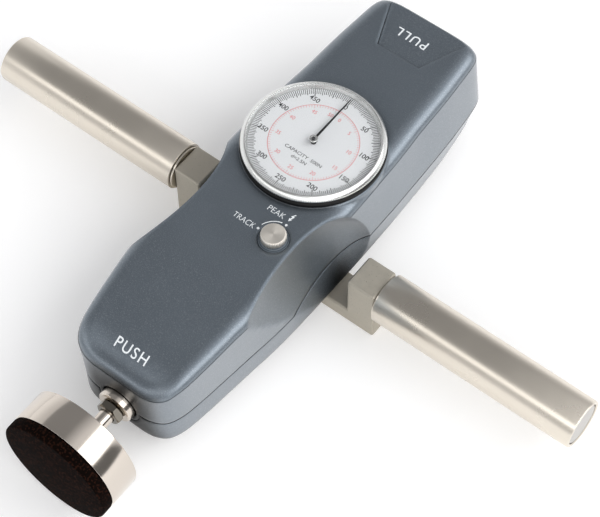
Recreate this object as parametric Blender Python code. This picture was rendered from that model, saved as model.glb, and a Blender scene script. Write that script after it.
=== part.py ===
"""Headstone stability tester: a dial push and pull gauge on a bracket with two tube handles.

Metres, +Z up. X runs along the handles, the push pad is at the -Y end and the pull stud at the +Y end.
The origin is the middle of the bracket bar's underside. The gauge is unloaded, with its knob on track.
"""

import math

import bmesh
import bpy
from mathutils import Matrix, Vector

MM = 0.001

# Clearances that every piece shares
GAP = 0.3 * MM
SEAM = 0.15 * MM
OVERRUN = 3.0 * MM
EMBED = 0.5 * MM

# Round pieces: sides by size
FINE_STEPS = 64
PLAIN_STEPS = 32
SMALL_STEPS = 10
SHARP_ANGLE = math.radians(32)

# Bracket: one U of bar with a block at each end
BAR_THICK = 7.5 * MM
BAR_WIDTH = 14.5 * MM
BRACKET_HALF = 49.0 * MM
BLOCK_LENGTH = 12.7 * MM
BLOCK_TOP = 28.4 * MM
BRACKET_EDGE = 0.6 * MM
BLOCK_INNER = BRACKET_HALF - BLOCK_LENGTH

# Handles
HANDLE_HEIGHT = 20.9 * MM
HANDLE_REACH = 139.6 * MM
TUBE_RADIUS = 10.2 * MM
TUBE_WALL = 1.5 * MM
TUBE_EDGE = 0.4 * MM
SPACER_THICK = 0.7 * MM
SPACER_INSET = 1.0 * MM
CAP_LENGTH = 8.0 * MM
CAP_RECESS = 0.4 * MM
INSERT_LENGTH = 16.0 * MM
HANDLE_SCREW_RADIUS = 3.0 * MM
HANDLE_SCREW_HEAD = 5.4 * MM
HANDLE_SCREW_LENGTH = 26.0 * MM
SPACER_START = BRACKET_HALF + GAP
TUBE_START = SPACER_START + SPACER_THICK + GAP
INSERT_RADIUS = TUBE_RADIUS - TUBE_WALL - GAP

# Housing: plan outline from the push end to the pull end, as shares of its length and half width
CASE_LENGTH = 197.0 * MM
CASE_PUSH_END = 98.0 * MM
CASE_HALF_WIDTH = 30.0 * MM
CASE_WALL = 2.5 * MM
CASE_BOTTOM = BAR_THICK + GAP
BOTTOM_ROUND = 8.0 * MM
PARTING_HEIGHT = 26.0 * MM
CREASE_HEIGHT = 52.4 * MM
TOP_HEIGHT = 56.4 * MM
NOSE_DROP = 10.2 * MM
CREASE_STEP = 0.45 * MM
SHOULDER_WIDTH = 8.0 * MM
SHOULDER_REACH = 4.5 * MM
CASE_MIDDLE_Y = CASE_LENGTH / 2 - CASE_PUSH_END
PLAN_SHARES = (
    (0.0, 0.35), (0.002, 0.45), (0.008, 0.567), (0.019, 0.663), (0.036, 0.723), (0.056, 0.763),
    (0.081, 0.79), (0.117, 0.82), (0.171, 0.857), (0.224, 0.893), (0.278, 0.933), (0.335, 0.96),
    (0.396, 0.973), (0.475, 0.987), (0.586, 1.0), (0.655, 1.0), (0.711, 0.993), (0.782, 0.98),
    (0.857, 0.96), (0.91, 0.933), (0.954, 0.903), (0.975, 0.873), (0.989, 0.81), (0.9964, 0.70),
    (0.9995, 0.533), (1.0, 0.33),
)
NOSE_DROP_SHARES = (
    (0.0, 1.0), (0.02, 0.72), (0.045, 0.5), (0.09, 0.33), (0.14, 0.18), (0.19, 0.05), (0.25, 0.0), (1.0, 0.0),
)
UPPER_LEAN = 2.4 * MM
UPPER_LEAN_SHARES = (
    (0.0, -0.75), (0.2, -0.78), (0.3, -0.4), (0.45, 0.1), (0.6, 0.5), (0.7, 0.75), (0.78, 1.0), (0.9, 1.0), (1.0, 0.85),
)
LOWER_LEAN = 2.6 * MM
LOWER_LEAN_SHARES = ((0.0, 0.0), (0.35, 0.1), (0.6, 0.3), (0.8, 0.5), (1.0, 1.0))
ROUND_ANGLES = tuple(math.radians(angle) for angle in (0, 30, 60, 90))

# Finger scoops: a long leaning ellipsoid cut from each side
SCOOP_OUT = 20.7 * MM
SCOOP_CENTRE = Vector((CASE_HALF_WIDTH + SCOOP_OUT, -56.5 * MM, 59.0 * MM))
SCOOP_DEPTH = 22.5 * MM
SCOOP_BREADTH = 45.0 * MM
SCOOP_LENGTH = 95.5 * MM
SCOOP_ANGLES = (0.864, -0.255, 0.332)
SCOOP_SIDES = 40

# Pull end panel, a shallow trapezoid in the top
PANEL_START = 73.5 * MM
PANEL_DEPTH = 0.6 * MM
PANEL_NEAR_HALF = 10.0 * MM
PANEL_FAR_HALF = 21.6 * MM

# Measuring shaft
SHAFT_HEIGHT = PARTING_HEIGHT
SHAFT_RADIUS = 4.0 * MM
SHAFT_TRAVEL = 10.0 * MM
HEAD_RADIUS = 7.4 * MM
HEAD_LENGTH = 6.0 * MM
HEAD_PROUD = 3.5 * MM
HEAD_EDGE = 0.6 * MM
STUD_RADIUS = 3.0 * MM
STUD_LENGTH = 26.0 * MM
REAR_HEAD_LENGTH = 8.0 * MM
THREAD_RADIUS = 2.5 * MM
THREAD_DEPTH = 6.5 * MM
STUD_EDGE = 0.5 * MM
COLLAR_RADIUS = 6.6 * MM
COLLAR_LENGTH = 3.0 * MM
FRONT_COLLAR_Y = -14.0 * MM
REAR_COLLAR_Y = 35.0 * MM
PORT_GAP = 0.7 * MM
TONGUE_RING = 1.4 * MM
PORT_RADIUS = HEAD_RADIUS + PORT_GAP
TONGUE_RADIUS = PORT_RADIUS + TONGUE_RING
FRONT_FACE_Y = -CASE_PUSH_END
REAR_FACE_Y = CASE_LENGTH - CASE_PUSH_END

# Pad on the push stud
NUT_HALF_FLATS = 5.0 * MM
NUT_THICK = 3.2 * MM
PAD_RADIUS = 23.5 * MM
PAD_THICK = 13.5 * MM
PAD_BACK = 116.1 * MM
PAD_EDGE = 0.5 * MM
FACING_THICK = 4.7 * MM
FACING_EDGE = 0.4 * MM

# Chassis inside the housing
CHASSIS_THICK = 2.5 * MM
CHASSIS_HALF_WIDTH = 16.8 * MM
BULKHEAD_THICK = 4.0 * MM
BULKHEAD_HALF = 11.0 * MM
BULKHEAD_TOP = 34.0 * MM
BULKHEAD_MARGIN = 1.0 * MM
FRONT_BULKHEAD_Y = -75.0 * MM
REAR_BULKHEAD_Y = 77.0 * MM
BUSH_WALL = 1.4 * MM
BUSH_FLANGE = 1.8 * MM
BUSH_FLANGE_THICK = 1.0 * MM
CHASSIS_BOTTOM = CASE_BOTTOM + CASE_WALL + GAP
CHASSIS_TOP = CHASSIS_BOTTOM + CHASSIS_THICK
BUSH_RADIUS = SHAFT_RADIUS + GAP + BUSH_WALL

# Measuring springs
SPRING_WIRE = 0.9 * MM
SPRING_MEAN = 5.8 * MM
SPRING_SIDES = 5
SPRING_POINTS = 10
FRONT_SPRING_TURNS = 8
REAR_SPRING_TURNS = 6

# Dial, all on one upright axis
DIAL_Y = 19.4 * MM
BEZEL_RADIUS = 28.0 * MM
BEZEL_TOP = 61.6 * MM
BEZEL_BOTTOM = 59.3 * MM
BEZEL_OPENING = 25.6 * MM
BEZEL_EDGE = 0.4 * MM
CRYSTAL_RADIUS = 26.2 * MM
CRYSTAL_THICK = 0.6 * MM
CRYSTAL_DOME = 1.2 * MM
CRYSTAL_RINGS = 5
DIAL_THICK = 0.4 * MM
DIAL_MARGIN = 0.5 * MM
DIAL_HOLE = 2.4 * MM
SEAT_RADIUS = 27.3 * MM
SEAT_SPIGOT = 21.7 * MM
SEAT_BORE = 19.6 * MM
SEAT_DEPTH = 2.8 * MM
BOSS_RADIUS = 28.7 * MM
BOSS_DEPTH = 8.0 * MM
BOSS_EDGE = 0.5 * MM
BOSS_PROUD = 0.3 * MM
BOSS_FACE = TOP_HEIGHT + BOSS_PROUD
DIAL_RADIUS = BEZEL_OPENING + DIAL_MARGIN
SEAT_TOP = BEZEL_BOTTOM - GAP
DIAL_TOP = SEAT_TOP
SEAT_LAND = DIAL_TOP - DIAL_THICK - GAP
LEDGE_HEIGHT = BEZEL_TOP - CRYSTAL_THICK

# Gear train: rack and pinion, then a wheel and pinion up to the pointer
TRAIN_MODULE = 0.7 * MM
WHEEL_TEETH = 30
ARBOR_TEETH = 12
RACK_TEETH = 13
RACK_PITCH = SHAFT_TRAVEL / 4
IDLER_TEETH = 10
ADDENDUM = 0.5 * MM
DEDENDUM = 0.85 * MM
TOOTH_SHARE = 0.36
TIP_SHARE = 0.20
RACK_LINE_X = -3.6 * MM
RACK_WIDTH = 6.0 * MM
RACK_HEIGHT = 4.0 * MM
PINION_THICK = 3.6 * MM
WHEEL_THICK = 2.5 * MM
WHEEL_HEIGHT = 36.0 * MM
ARBOR_RADIUS = 1.0 * MM
ARBOR_TIP = 0.7 * MM
POST_RADIUS = 2.5 * MM
POST_SOCKET = 4.0 * MM
HOLD_WHEEL_RADIUS = 6.0 * MM
HOLD_WHEEL_THICK = 1.2 * MM
WHEEL_RADIUS = TRAIN_MODULE * WHEEL_TEETH / 2
ARBOR_PITCH = TRAIN_MODULE * ARBOR_TEETH / 2
IDLER_PITCH = RACK_PITCH * IDLER_TEETH / math.tau
IDLER_X = RACK_LINE_X - IDLER_PITCH
IDLER_Y = DIAL_Y - math.sqrt((WHEEL_RADIUS + ARBOR_PITCH) ** 2 - IDLER_X**2)
RACK_BOTTOM = SHAFT_HEIGHT + SHAFT_RADIUS + GAP
PINION_BOTTOM = RACK_BOTTOM + GAP

# Movement plate over the gears
PLATE_THICK = 1.5 * MM
PLATE_LIFT = 0.5 * MM
PLATE_HALF = 17.0 * MM
PLATE_FRONT = -11.0 * MM
PLATE_REAR = 50.0 * MM
PILLAR_X = 14.0 * MM
PILLAR_INSET = 4.0 * MM
PILLAR_RADIUS = 2.5 * MM
PLATE_SCREW_RADIUS = 1.0 * MM
PLATE_SCREW_HEAD = 2.1 * MM
PLATE_SCREW_HEAD_THICK = 1.3 * MM
PLATE_SCREW_LENGTH = 7.0 * MM
PLATE_BOSS = 3.0 * MM
PLATE_BOSS_HEIGHT = 4.0 * MM
PLATE_BOTTOM = WHEEL_HEIGHT + WHEEL_THICK + PLATE_LIFT
PLATE_TOP = PLATE_BOTTOM + PLATE_THICK
BOSS_TOP = PLATE_TOP + PLATE_BOSS_HEIGHT

# Pointer
HUB_RADIUS = 1.9 * MM
HUB_THICK = 0.5 * MM
POINTER_RING = 1.7 * MM
POINTER_THICK = 0.25 * MM
POINTER_LIFT = 1.6 * MM
POINTER_LENGTH = 23.4 * MM
POINTER_HALF_ROOT = 0.5 * MM
POINTER_HALF_TIP = 0.2 * MM
POINTER_BOTTOM = DIAL_TOP + POINTER_LIFT
HUB_BOTTOM = POINTER_BOTTOM + POINTER_THICK + GAP

# Mode knob and the lever that it turns
KNOB_X = 13.7 * MM
KNOB_Y = -22.7 * MM
KNOB_RADIUS = 5.5 * MM
KNOB_TOP = 60.2 * MM
KNOB_EDGE = 0.5 * MM
KNOB_STEM = 2.0 * MM
COLLAR_FLANGE = 6.5 * MM
COLLAR_FLANGE_THICK = 1.1 * MM
COLLAR_SPIGOT = 4.0 * MM
COLLAR_PROUD = 0.3 * MM
CRANK_RADIUS = 4.6 * MM
CRANK_THICK = 1.5 * MM
CRANK_LIFT = 0.5 * MM
CRANK_PIN = 0.8 * MM
CRANK_THROW = 3.0 * MM
CRANK_PIN_ANGLE = math.radians(135)
LEVER_PIVOT_Y = -0.3 * MM
LEVER_THICK = 1.2 * MM
LEVER_HUB = 2.9 * MM
LEVER_ARM_HALF = 1.3 * MM
LEVER_SLOT = 0.4 * MM
LEVER_PRONG = 1.2 * MM
LEVER_FORK = 5.5 * MM
LEVER_TIP_GAP = 0.35 * MM
LEVER_TIP_HALF = 0.9 * MM
LEVER_REST = math.radians(6.0)
PIVOT_RADIUS = 1.2 * MM
PIVOT_HEAD = 2.4 * MM
PIVOT_HEAD_THICK = 1.0 * MM
LEVER_BOTTOM = BOSS_TOP + GAP
LEVER_TOP = LEVER_BOTTOM + LEVER_THICK
CRANK_BOTTOM = LEVER_TOP + CRANK_LIFT
CRANK_TOP = CRANK_BOTTOM + CRANK_THICK
COLLAR_TOP = TOP_HEIGHT + COLLAR_PROUD
KNOB_BOTTOM = COLLAR_TOP + COLLAR_PROUD
KNOB_RECESS = COLLAR_TOP - COLLAR_FLANGE_THICK - GAP

# Housing screws and bosses
CASE_SCREW_RADIUS = 1.5 * MM
CASE_SCREW_HEAD = 2.7 * MM
CASE_SCREW_HEAD_THICK = 1.8 * MM
CASE_SCREW_LENGTH = 22.0 * MM
CASE_SCREW_SINK = 5.5 * MM
CASE_BOSS = 3.6 * MM
FRONT_SCREW_SHARE = 0.513
FRONT_SCREW_Y = -85.0 * MM
REAR_SCREW_SHARE = 0.646
REAR_SCREW_Y = 86.0 * MM

# Countersunk screws through the floor: chassis screws and bracket screws
FLOOR_SCREW_RADIUS = 1.5 * MM
FLOOR_SCREW_HEAD = 2.9 * MM
FLOOR_SCREW_LENGTH = 8.0 * MM
CHASSIS_SCREW_FRONT_Y = -60.0 * MM
CHASSIS_SCREW_REAR_Y = 60.0 * MM
BRACKET_SCREW_X = 13.0 * MM
BRACKET_SCREW_RADIUS = 2.0 * MM
BRACKET_SCREW_HEAD = 3.9 * MM
BRACKET_SCREW_LENGTH = 15.5 * MM
FLOOR_BOSS = 3.6 * MM
FLOOR_BOSS_TOP = CHASSIS_TOP + 3.0 * MM
SOCKET_SHARE = 0.5
SOCKET_DEPTH_SHARE = 0.6
SCREW_SINK = 0.1 * MM
CONE_GAP = GAP * math.sqrt(2)


def clear_scene():
    for obj in list(bpy.data.objects):
        bpy.data.objects.remove(obj)


def material(name, red, green, blue, metallic, roughness):
    """One Principled material."""
    made = bpy.data.materials.new(name)
    made.use_nodes = True
    shader = made.node_tree.nodes["Principled BSDF"]
    shader.inputs["Base Color"].default_value = (red, green, blue, 1.0)
    shader.inputs["Metallic"].default_value = metallic
    shader.inputs["Roughness"].default_value = roughness
    made.diffuse_color = (red, green, blue, 1.0)
    return made


def solid(name, points, faces, at=(0, 0, 0)):
    """An object from local points and faces, with its faces turned outward."""
    bm = bmesh.new()
    verts = [bm.verts.new(point) for point in points]
    for face in faces:
        bm.faces.new([verts[index] for index in face])
    bmesh.ops.recalc_face_normals(bm, faces=bm.faces)
    mesh = bpy.data.meshes.new(name)
    bm.to_mesh(mesh)
    bm.free()
    obj = bpy.data.objects.new(name, mesh)
    obj.location = at
    bpy.context.scene.collection.objects.link(obj)
    return obj


def on_axis(axis, radius, angle, distance):
    """A point at this radius and angle round the named axis, at this distance along it."""
    across = radius * math.cos(angle)
    up = radius * math.sin(angle)
    if axis == "X":
        return (distance, across, up)
    if axis == "Y":
        return (across, distance, up)
    return (across, up, distance)


def turned(name, profile, at=(0, 0, 0), axis="Z", steps=PLAIN_STEPS, start=0.0):
    """A turned solid: the closed profile lists (radius, distance along the axis)."""
    points = []
    rings = []
    for radius, distance in profile:
        count = steps if radius > 0 else 1
        rings.append([len(points) + step for step in range(count)])
        for step in range(count):
            points.append(on_axis(axis, radius, start + math.tau * step / steps, distance))
    faces = []
    for ring, following in zip(rings, rings[1:] + rings[:1]):
        if len(ring) == 1 and len(following) == 1:
            continue
        for step in range(steps):
            after = (step + 1) % steps
            corners = [ring[step % len(ring)], ring[after % len(ring)]]
            corners += [following[after % len(following)], following[step % len(following)]]
            faces.append(list(dict.fromkeys(corners)))
    return solid(name, points, faces, at)


def cylinder(name, radius, low, high, at=(0, 0, 0), axis="Z", steps=PLAIN_STEPS):
    profile = ((0, low), (radius, low), (radius, high), (0, high))
    return turned(name, profile, at, axis, steps)


def extruded(name, outline, low, high, at=(0, 0, 0), axis="Z"):
    """An outline of (across, up) points, drawn out along the named axis."""
    points = []
    for distance in (low, high):
        for across, up in outline:
            if axis == "X":
                points.append((distance, across, up))
            elif axis == "Y":
                points.append((across, distance, up))
            else:
                points.append((across, up, distance))
    count = len(outline)
    faces = [list(range(count)), list(range(count, 2 * count))]
    for index in range(count):
        after = (index + 1) % count
        faces.append([index, after, count + after, count + index])
    return solid(name, points, faces, at)


def block(name, low, high):
    """A box between two corners."""
    outline = ((low[0], low[1]), (high[0], low[1]), (high[0], high[1]), (low[0], high[1]))
    return extruded(name, outline, low[2], high[2])


def combine(base, tools, operation):
    """Joins the tools to the base or cuts them all away in one step, and removes them."""
    whole = bmesh.new()
    for tool in tools:
        bpy.context.view_layer.update()
        tool.data.transform(tool.matrix_world)
        whole.from_mesh(tool.data)
        bpy.data.objects.remove(tool)
    mesh = bpy.data.meshes.new("tools")
    whole.to_mesh(mesh)
    whole.free()
    together = bpy.data.objects.new("tools", mesh)
    bpy.context.scene.collection.objects.link(together)
    step = base.modifiers.new("combine", "BOOLEAN")
    step.operation = operation
    step.solver = "EXACT"
    step.use_self = len(tools) > 1
    step.object = together
    graph = bpy.context.evaluated_depsgraph_get()
    result = bpy.data.meshes.new_from_object(base.evaluated_get(graph))
    base.modifiers.clear()
    base.data = result
    bpy.data.objects.remove(together)
    return base


def cut(base, *tools):
    return combine(base, tools, "DIFFERENCE")


def join(base, *tools):
    return combine(base, tools, "UNION")


def keep_inside(base, *tools):
    return combine(base, tools, "INTERSECT")


def soften(obj, width):
    """A small bevel along every sharp edge."""
    bm = bmesh.new()
    bm.from_mesh(obj.data)
    edges = [edge for edge in bm.edges if edge.calc_face_angle(0) > SHARP_ANGLE]
    bmesh.ops.bevel(bm, geom=edges, offset=width, segments=1, profile=0.5, affect="EDGES")
    bm.to_mesh(obj.data)
    bm.free()
    return obj


def finish(obj, name, surface):
    """Names the piece and gives it its material and smooth round faces."""
    obj.name = name
    obj.data.name = name
    obj.data.materials.clear()
    obj.data.materials.append(surface)
    obj.data.shade_smooth()
    obj.data.set_sharp_from_angle(angle=SHARP_ANGLE)
    return obj


def between(shares, share):
    """The value at this share along a table of (share, value) pairs."""
    for (low, low_value), (high, high_value) in zip(shares, shares[1:]):
        if share <= high:
            return low_value + (high_value - low_value) * (share - low) / (high - low)
    return shares[-1][1]


def upper_lean(along):
    return UPPER_LEAN * between(UPPER_LEAN_SHARES, along)


def lower_lean(along):
    return LOWER_LEAN * between(LOWER_LEAN_SHARES, along)


def upright(along):
    return 0


def case_ring(inset_x, inset_y, height_at, lean_at):
    """One level of the housing: its right side from push to pull end, then its left side back."""
    right = []
    for along, across in PLAN_SHARES:
        lean = lean_at(along)
        end_inset = inset_y + max(lean, 0)
        x = across * (CASE_HALF_WIDTH - inset_x - lean)
        y = CASE_MIDDLE_Y + (along - 0.5) * (CASE_LENGTH - 2 * end_inset)
        right.append((x, y, height_at(along)))
    left = [(-x, y, z) for x, y, z in reversed(right)]
    return right + left


def case_body(name, skin):
    """The housing's solid form, drawn in by the skin thickness on every side."""
    bottom_round = BOTTOM_ROUND - skin
    rings = []
    for angle in ROUND_ANGLES:
        inset = skin + bottom_round * (1 - math.sin(angle))
        height = CASE_BOTTOM + skin + bottom_round * (1 - math.cos(angle))
        rings.append(case_ring(inset, inset, lambda along, z=height: z, lower_lean))
    rings.append(case_ring(skin, skin, lambda along: PARTING_HEIGHT, upright))

    shoulder_rise = TOP_HEIGHT - CREASE_HEIGHT

    def below_top(along, drop):
        return TOP_HEIGHT - skin - drop - NOSE_DROP * between(NOSE_DROP_SHARES, along)

    rings.append(case_ring(skin, skin, lambda along: below_top(along, shoulder_rise), upper_lean))
    step = skin + CREASE_STEP
    for angle in ROUND_ANGLES:
        drawn_in = 1 - math.cos(angle)
        inset_x = step + SHOULDER_WIDTH * drawn_in
        inset_y = step + SHOULDER_REACH * drawn_in
        drop = shoulder_rise * (1 - math.sin(angle))
        rings.append(case_ring(inset_x, inset_y, lambda along, drop=drop: below_top(along, drop), upper_lean))
    points = [point for ring in rings for point in ring]
    around = len(rings[0])
    rows = len(PLAN_SHARES)
    faces = []
    for level in range(len(rings) - 1):
        for index in range(around):
            after = (index + 1) % around
            low = level * around
            faces.append([low + index, low + after, low + around + after, low + around + index])
    for low in (0, (len(rings) - 1) * around):
        for row in range(rows - 1):
            mirrored = around - 1 - row
            faces.append([low + row, low + row + 1, low + mirrored - 1, low + mirrored])
    return solid(name, points, faces)


def scoop(name, side, skin):
    """One finger scoop as a cutter, grown by the skin thickness."""
    bm = bmesh.new()
    bmesh.ops.create_uvsphere(bm, u_segments=SCOOP_SIDES, v_segments=SCOOP_SIDES // 2, radius=1)
    sizes = (SCOOP_DEPTH + skin, SCOOP_BREADTH + skin, SCOOP_LENGTH + skin)
    bmesh.ops.transform(bm, matrix=Matrix.Diagonal((*sizes, 1)), verts=bm.verts)
    mesh = bpy.data.meshes.new(name)
    bm.to_mesh(mesh)
    bm.free()
    obj = bpy.data.objects.new(name, mesh)
    obj.location = (side * SCOOP_CENTRE.x, SCOOP_CENTRE.y, SCOOP_CENTRE.z)
    obj.rotation_euler = (SCOOP_ANGLES[0], side * SCOOP_ANGLES[1], side * SCOOP_ANGLES[2])
    bpy.context.scene.collection.objects.link(obj)
    return obj


def case_screw_places():
    for side in (-1, 1):
        yield side * CASE_HALF_WIDTH * FRONT_SCREW_SHARE, FRONT_SCREW_Y
        yield side * CASE_HALF_WIDTH * REAR_SCREW_SHARE, REAR_SCREW_Y


def ports(radius, low, high):
    """A disc round the shaft at each end wall, from the low to the high distance outside its face."""
    front = cylinder("front", radius, FRONT_FACE_Y - high, FRONT_FACE_Y - low, (0, 0, SHAFT_HEIGHT), "Y")
    rear = cylinder("rear", radius, REAR_FACE_Y + low, REAR_FACE_Y + high, (0, 0, SHAFT_HEIGHT), "Y")
    return front, rear


def housing_openings():
    """Every hole in the housing, as cutters."""
    panel = (
        (-PANEL_NEAR_HALF, PANEL_START),
        (PANEL_NEAR_HALF, PANEL_START),
        (PANEL_FAR_HALF, REAR_FACE_Y + OVERRUN),
        (-PANEL_FAR_HALF, REAR_FACE_Y + OVERRUN),
    )
    openings = [extruded("panel", panel, TOP_HEIGHT - PANEL_DEPTH, TOP_HEIGHT + OVERRUN)]
    openings += ports(PORT_RADIUS, -CASE_WALL - OVERRUN, OVERRUN)
    dial_floor = TOP_HEIGHT - SEAT_DEPTH - 2 * GAP
    openings.append(cylinder("dial_hole", SEAT_SPIGOT + GAP, dial_floor, TOP_HEIGHT + OVERRUN, (0, DIAL_Y, 0),
                             steps=FINE_STEPS))
    knob_well = (
        (0, TOP_HEIGHT - CASE_WALL - OVERRUN),
        (COLLAR_SPIGOT + GAP, TOP_HEIGHT - CASE_WALL - OVERRUN),
        (COLLAR_SPIGOT + GAP, KNOB_RECESS),
        (COLLAR_FLANGE + GAP, KNOB_RECESS),
        (COLLAR_FLANGE + GAP, TOP_HEIGHT + OVERRUN),
        (0, TOP_HEIGHT + OVERRUN),
    )
    openings.append(turned("knob_well", knob_well, (KNOB_X, KNOB_Y, 0)))
    head_top = CASE_BOTTOM + CASE_SCREW_SINK + CASE_SCREW_HEAD_THICK + GAP
    hole_top = CASE_BOTTOM + CASE_SCREW_SINK + CASE_SCREW_LENGTH + OVERRUN
    for x, y in case_screw_places():
        sink = (
            (0, 0),
            (CASE_SCREW_HEAD + GAP, 0),
            (CASE_SCREW_HEAD + GAP, head_top),
            (CASE_SCREW_RADIUS + GAP, head_top),
            (CASE_SCREW_RADIUS + GAP, hole_top),
            (0, hole_top),
        )
        openings.append(turned("sink", sink, (x, y, 0), steps=SMALL_STEPS))
    for y in (CHASSIS_SCREW_FRONT_Y, CHASSIS_SCREW_REAR_Y):
        hole_at = (0, y, CASE_BOTTOM)
        openings.append(countersunk_hole(hole_at, "Z", 1, FLOOR_SCREW_HEAD, FLOOR_SCREW_RADIUS, FLOOR_SCREW_LENGTH))
    for side in (-1, 1):
        hole_at = (side * BRACKET_SCREW_X, 0, 0)
        hole = cylinder("hole", BRACKET_SCREW_RADIUS + GAP, 0, CHASSIS_BOTTOM, hole_at, steps=SMALL_STEPS)
        openings.append(hole)
    return openings


def make_housing(paint):
    """The whole shell with its scoops, split into cover and case, each with its openings."""
    shell = case_body("shell", 0)
    dial_boss = (
        (0, TOP_HEIGHT - BOSS_DEPTH),
        (BOSS_RADIUS, TOP_HEIGHT - BOSS_DEPTH),
        (BOSS_RADIUS, BOSS_FACE - BOSS_EDGE),
        (BOSS_RADIUS - BOSS_EDGE, BOSS_FACE),
        (0, BOSS_FACE),
    )
    join(shell, turned("boss", dial_boss, (0, DIAL_Y, 0), steps=FINE_STEPS))
    hollow = case_body("hollow", CASE_WALL)
    cut(shell, scoop("scoop", -1, 0), scoop("scoop", 1, 0))
    within = [scoop("scoop", -1, CASE_WALL), scoop("scoop", 1, CASE_WALL)]
    for x, y in case_screw_places():
        within.append(cylinder("boss", CASE_BOSS, 0, BEZEL_TOP, (x, y, 0), steps=SMALL_STEPS))
    cut(hollow, *within)
    cut(shell, hollow)

    cover = shell.copy()
    cover.data = shell.data.copy()
    bpy.context.scene.collection.objects.link(cover)
    width = CASE_HALF_WIDTH + BOSS_RADIUS
    ends = (FRONT_FACE_Y - OVERRUN, REAR_FACE_Y + OVERRUN)
    above = BEZEL_TOP + OVERRUN
    upper_half = block("upper_half", (-width, ends[0], PARTING_HEIGHT + SEAM), (width, ends[1], above))
    join(upper_half, *ports(TONGUE_RADIUS, -CASE_WALL - EMBED, OVERRUN + EMBED))
    keep_inside(cover, upper_half)
    away = block("away", (-width, ends[0], PARTING_HEIGHT - SEAM), (width, ends[1], above))
    join(away, *ports(TONGUE_RADIUS + GAP, -CASE_WALL - OVERRUN, OVERRUN + EMBED))
    cut(shell, away)
    cut(cover, *housing_openings())
    cut(shell, *housing_openings())
    finish(shell, "lower_case", paint)
    finish(cover, "upper_cover", paint)


def screw_profile(head, radius, length, sign, grow=0.0, socket=True):
    """A countersunk screw from its head's face, driven towards the sign along its axis."""
    cone = head - radius
    deep = cone * SOCKET_DEPTH_SHARE
    if socket:
        start = [(0, deep + SCREW_SINK), (radius * SOCKET_SHARE, deep + SCREW_SINK)]
        start += [(radius * SOCKET_SHARE, SCREW_SINK), (head, SCREW_SINK)]
        rest = [(radius, cone + SCREW_SINK), (radius, length), (0, length)]
    else:
        start = [(0, -OVERRUN), (head + OVERRUN + grow, -OVERRUN)]
        rest = [(radius + GAP, cone + grow + SCREW_SINK), (radius + GAP, length + GAP)]
        rest += [(0, length + GAP)]
    return [(r, sign * h) for r, h in start + rest]


def countersunk_screw(at, axis, sign, head, radius, length):
    return turned("screw", screw_profile(head, radius, length, sign), at, axis, SMALL_STEPS)


def countersunk_hole(at, axis, sign, head, radius, length):
    profile = screw_profile(head, radius, length, sign, CONE_GAP, socket=False)
    return turned("hole", profile, at, axis, SMALL_STEPS)


def pan_screw(head, head_thick, radius, length, at, sign):
    """A pan head screw whose head stands on the far side of its seat, driven towards the sign."""
    profile = (
        (0, -sign * head_thick * SOCKET_SHARE),
        (radius * SOCKET_SHARE, -sign * head_thick * SOCKET_SHARE),
        (radius * SOCKET_SHARE, -sign * head_thick),
        (head, -sign * head_thick),
        (head, 0),
        (radius, 0),
        (radius, sign * length),
        (0, sign * length),
    )
    return turned("screw", profile, at, "Z", SMALL_STEPS)


def make_housing_screws(zinc):
    for number, (x, y) in enumerate(case_screw_places(), 1):
        seat = CASE_BOTTOM + CASE_SCREW_SINK + CASE_SCREW_HEAD_THICK
        screw = pan_screw(CASE_SCREW_HEAD, CASE_SCREW_HEAD_THICK, CASE_SCREW_RADIUS,
                          CASE_SCREW_LENGTH - CASE_SCREW_HEAD_THICK, (x, y, seat), 1)
        finish(screw, f"case_screw_{number}", zinc)
    for name, y in (("front", CHASSIS_SCREW_FRONT_Y), ("rear", CHASSIS_SCREW_REAR_Y)):
        screw = countersunk_screw((0, y, CASE_BOTTOM), "Z", 1, FLOOR_SCREW_HEAD, FLOOR_SCREW_RADIUS, FLOOR_SCREW_LENGTH)
        finish(screw, f"chassis_screw_{name}", zinc)
    for name, side in (("left", -1), ("right", 1)):
        at = (side * BRACKET_SCREW_X, 0, 0)
        screw = countersunk_screw(at, "Z", 1, BRACKET_SCREW_HEAD, BRACKET_SCREW_RADIUS, BRACKET_SCREW_LENGTH)
        finish(screw, f"bracket_screw_{name}", zinc)


def make_bracket(blasted):
    half = BAR_WIDTH / 2
    outline = (
        (-BRACKET_HALF, 0),
        (BRACKET_HALF, 0),
        (BRACKET_HALF, BLOCK_TOP),
        (BLOCK_INNER, BLOCK_TOP),
        (BLOCK_INNER, BAR_THICK),
        (-BLOCK_INNER, BAR_THICK),
        (-BLOCK_INNER, BLOCK_TOP),
        (-BRACKET_HALF, BLOCK_TOP),
    )
    bracket = soften(extruded("bracket", outline, -half, half, axis="Y"), BRACKET_EDGE)
    holes = []
    for side in (-1, 1):
        at = (side * BRACKET_SCREW_X, 0, 0)
        holes.append(countersunk_hole(at, "Z", 1, BRACKET_SCREW_HEAD, BRACKET_SCREW_RADIUS, BRACKET_SCREW_LENGTH))
        at = (side * BLOCK_INNER, 0, HANDLE_HEIGHT)
        holes.append(countersunk_hole(at, "X", side, HANDLE_SCREW_HEAD, HANDLE_SCREW_RADIUS, HANDLE_SCREW_LENGTH))
    cut(bracket, *holes)
    finish(bracket, "bracket", blasted)


def ring_profile(inner, outer, low, high, edge=0.0):
    """A ring's closed profile, with its outer corners taken off by the edge width."""
    if edge == 0:
        return ((inner, low), (outer, low), (outer, high), (inner, high))
    return (
        (inner, low),
        (outer - edge, low),
        (outer, low + edge),
        (outer, high - edge),
        (outer - edge, high),
        (inner, high),
    )


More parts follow.
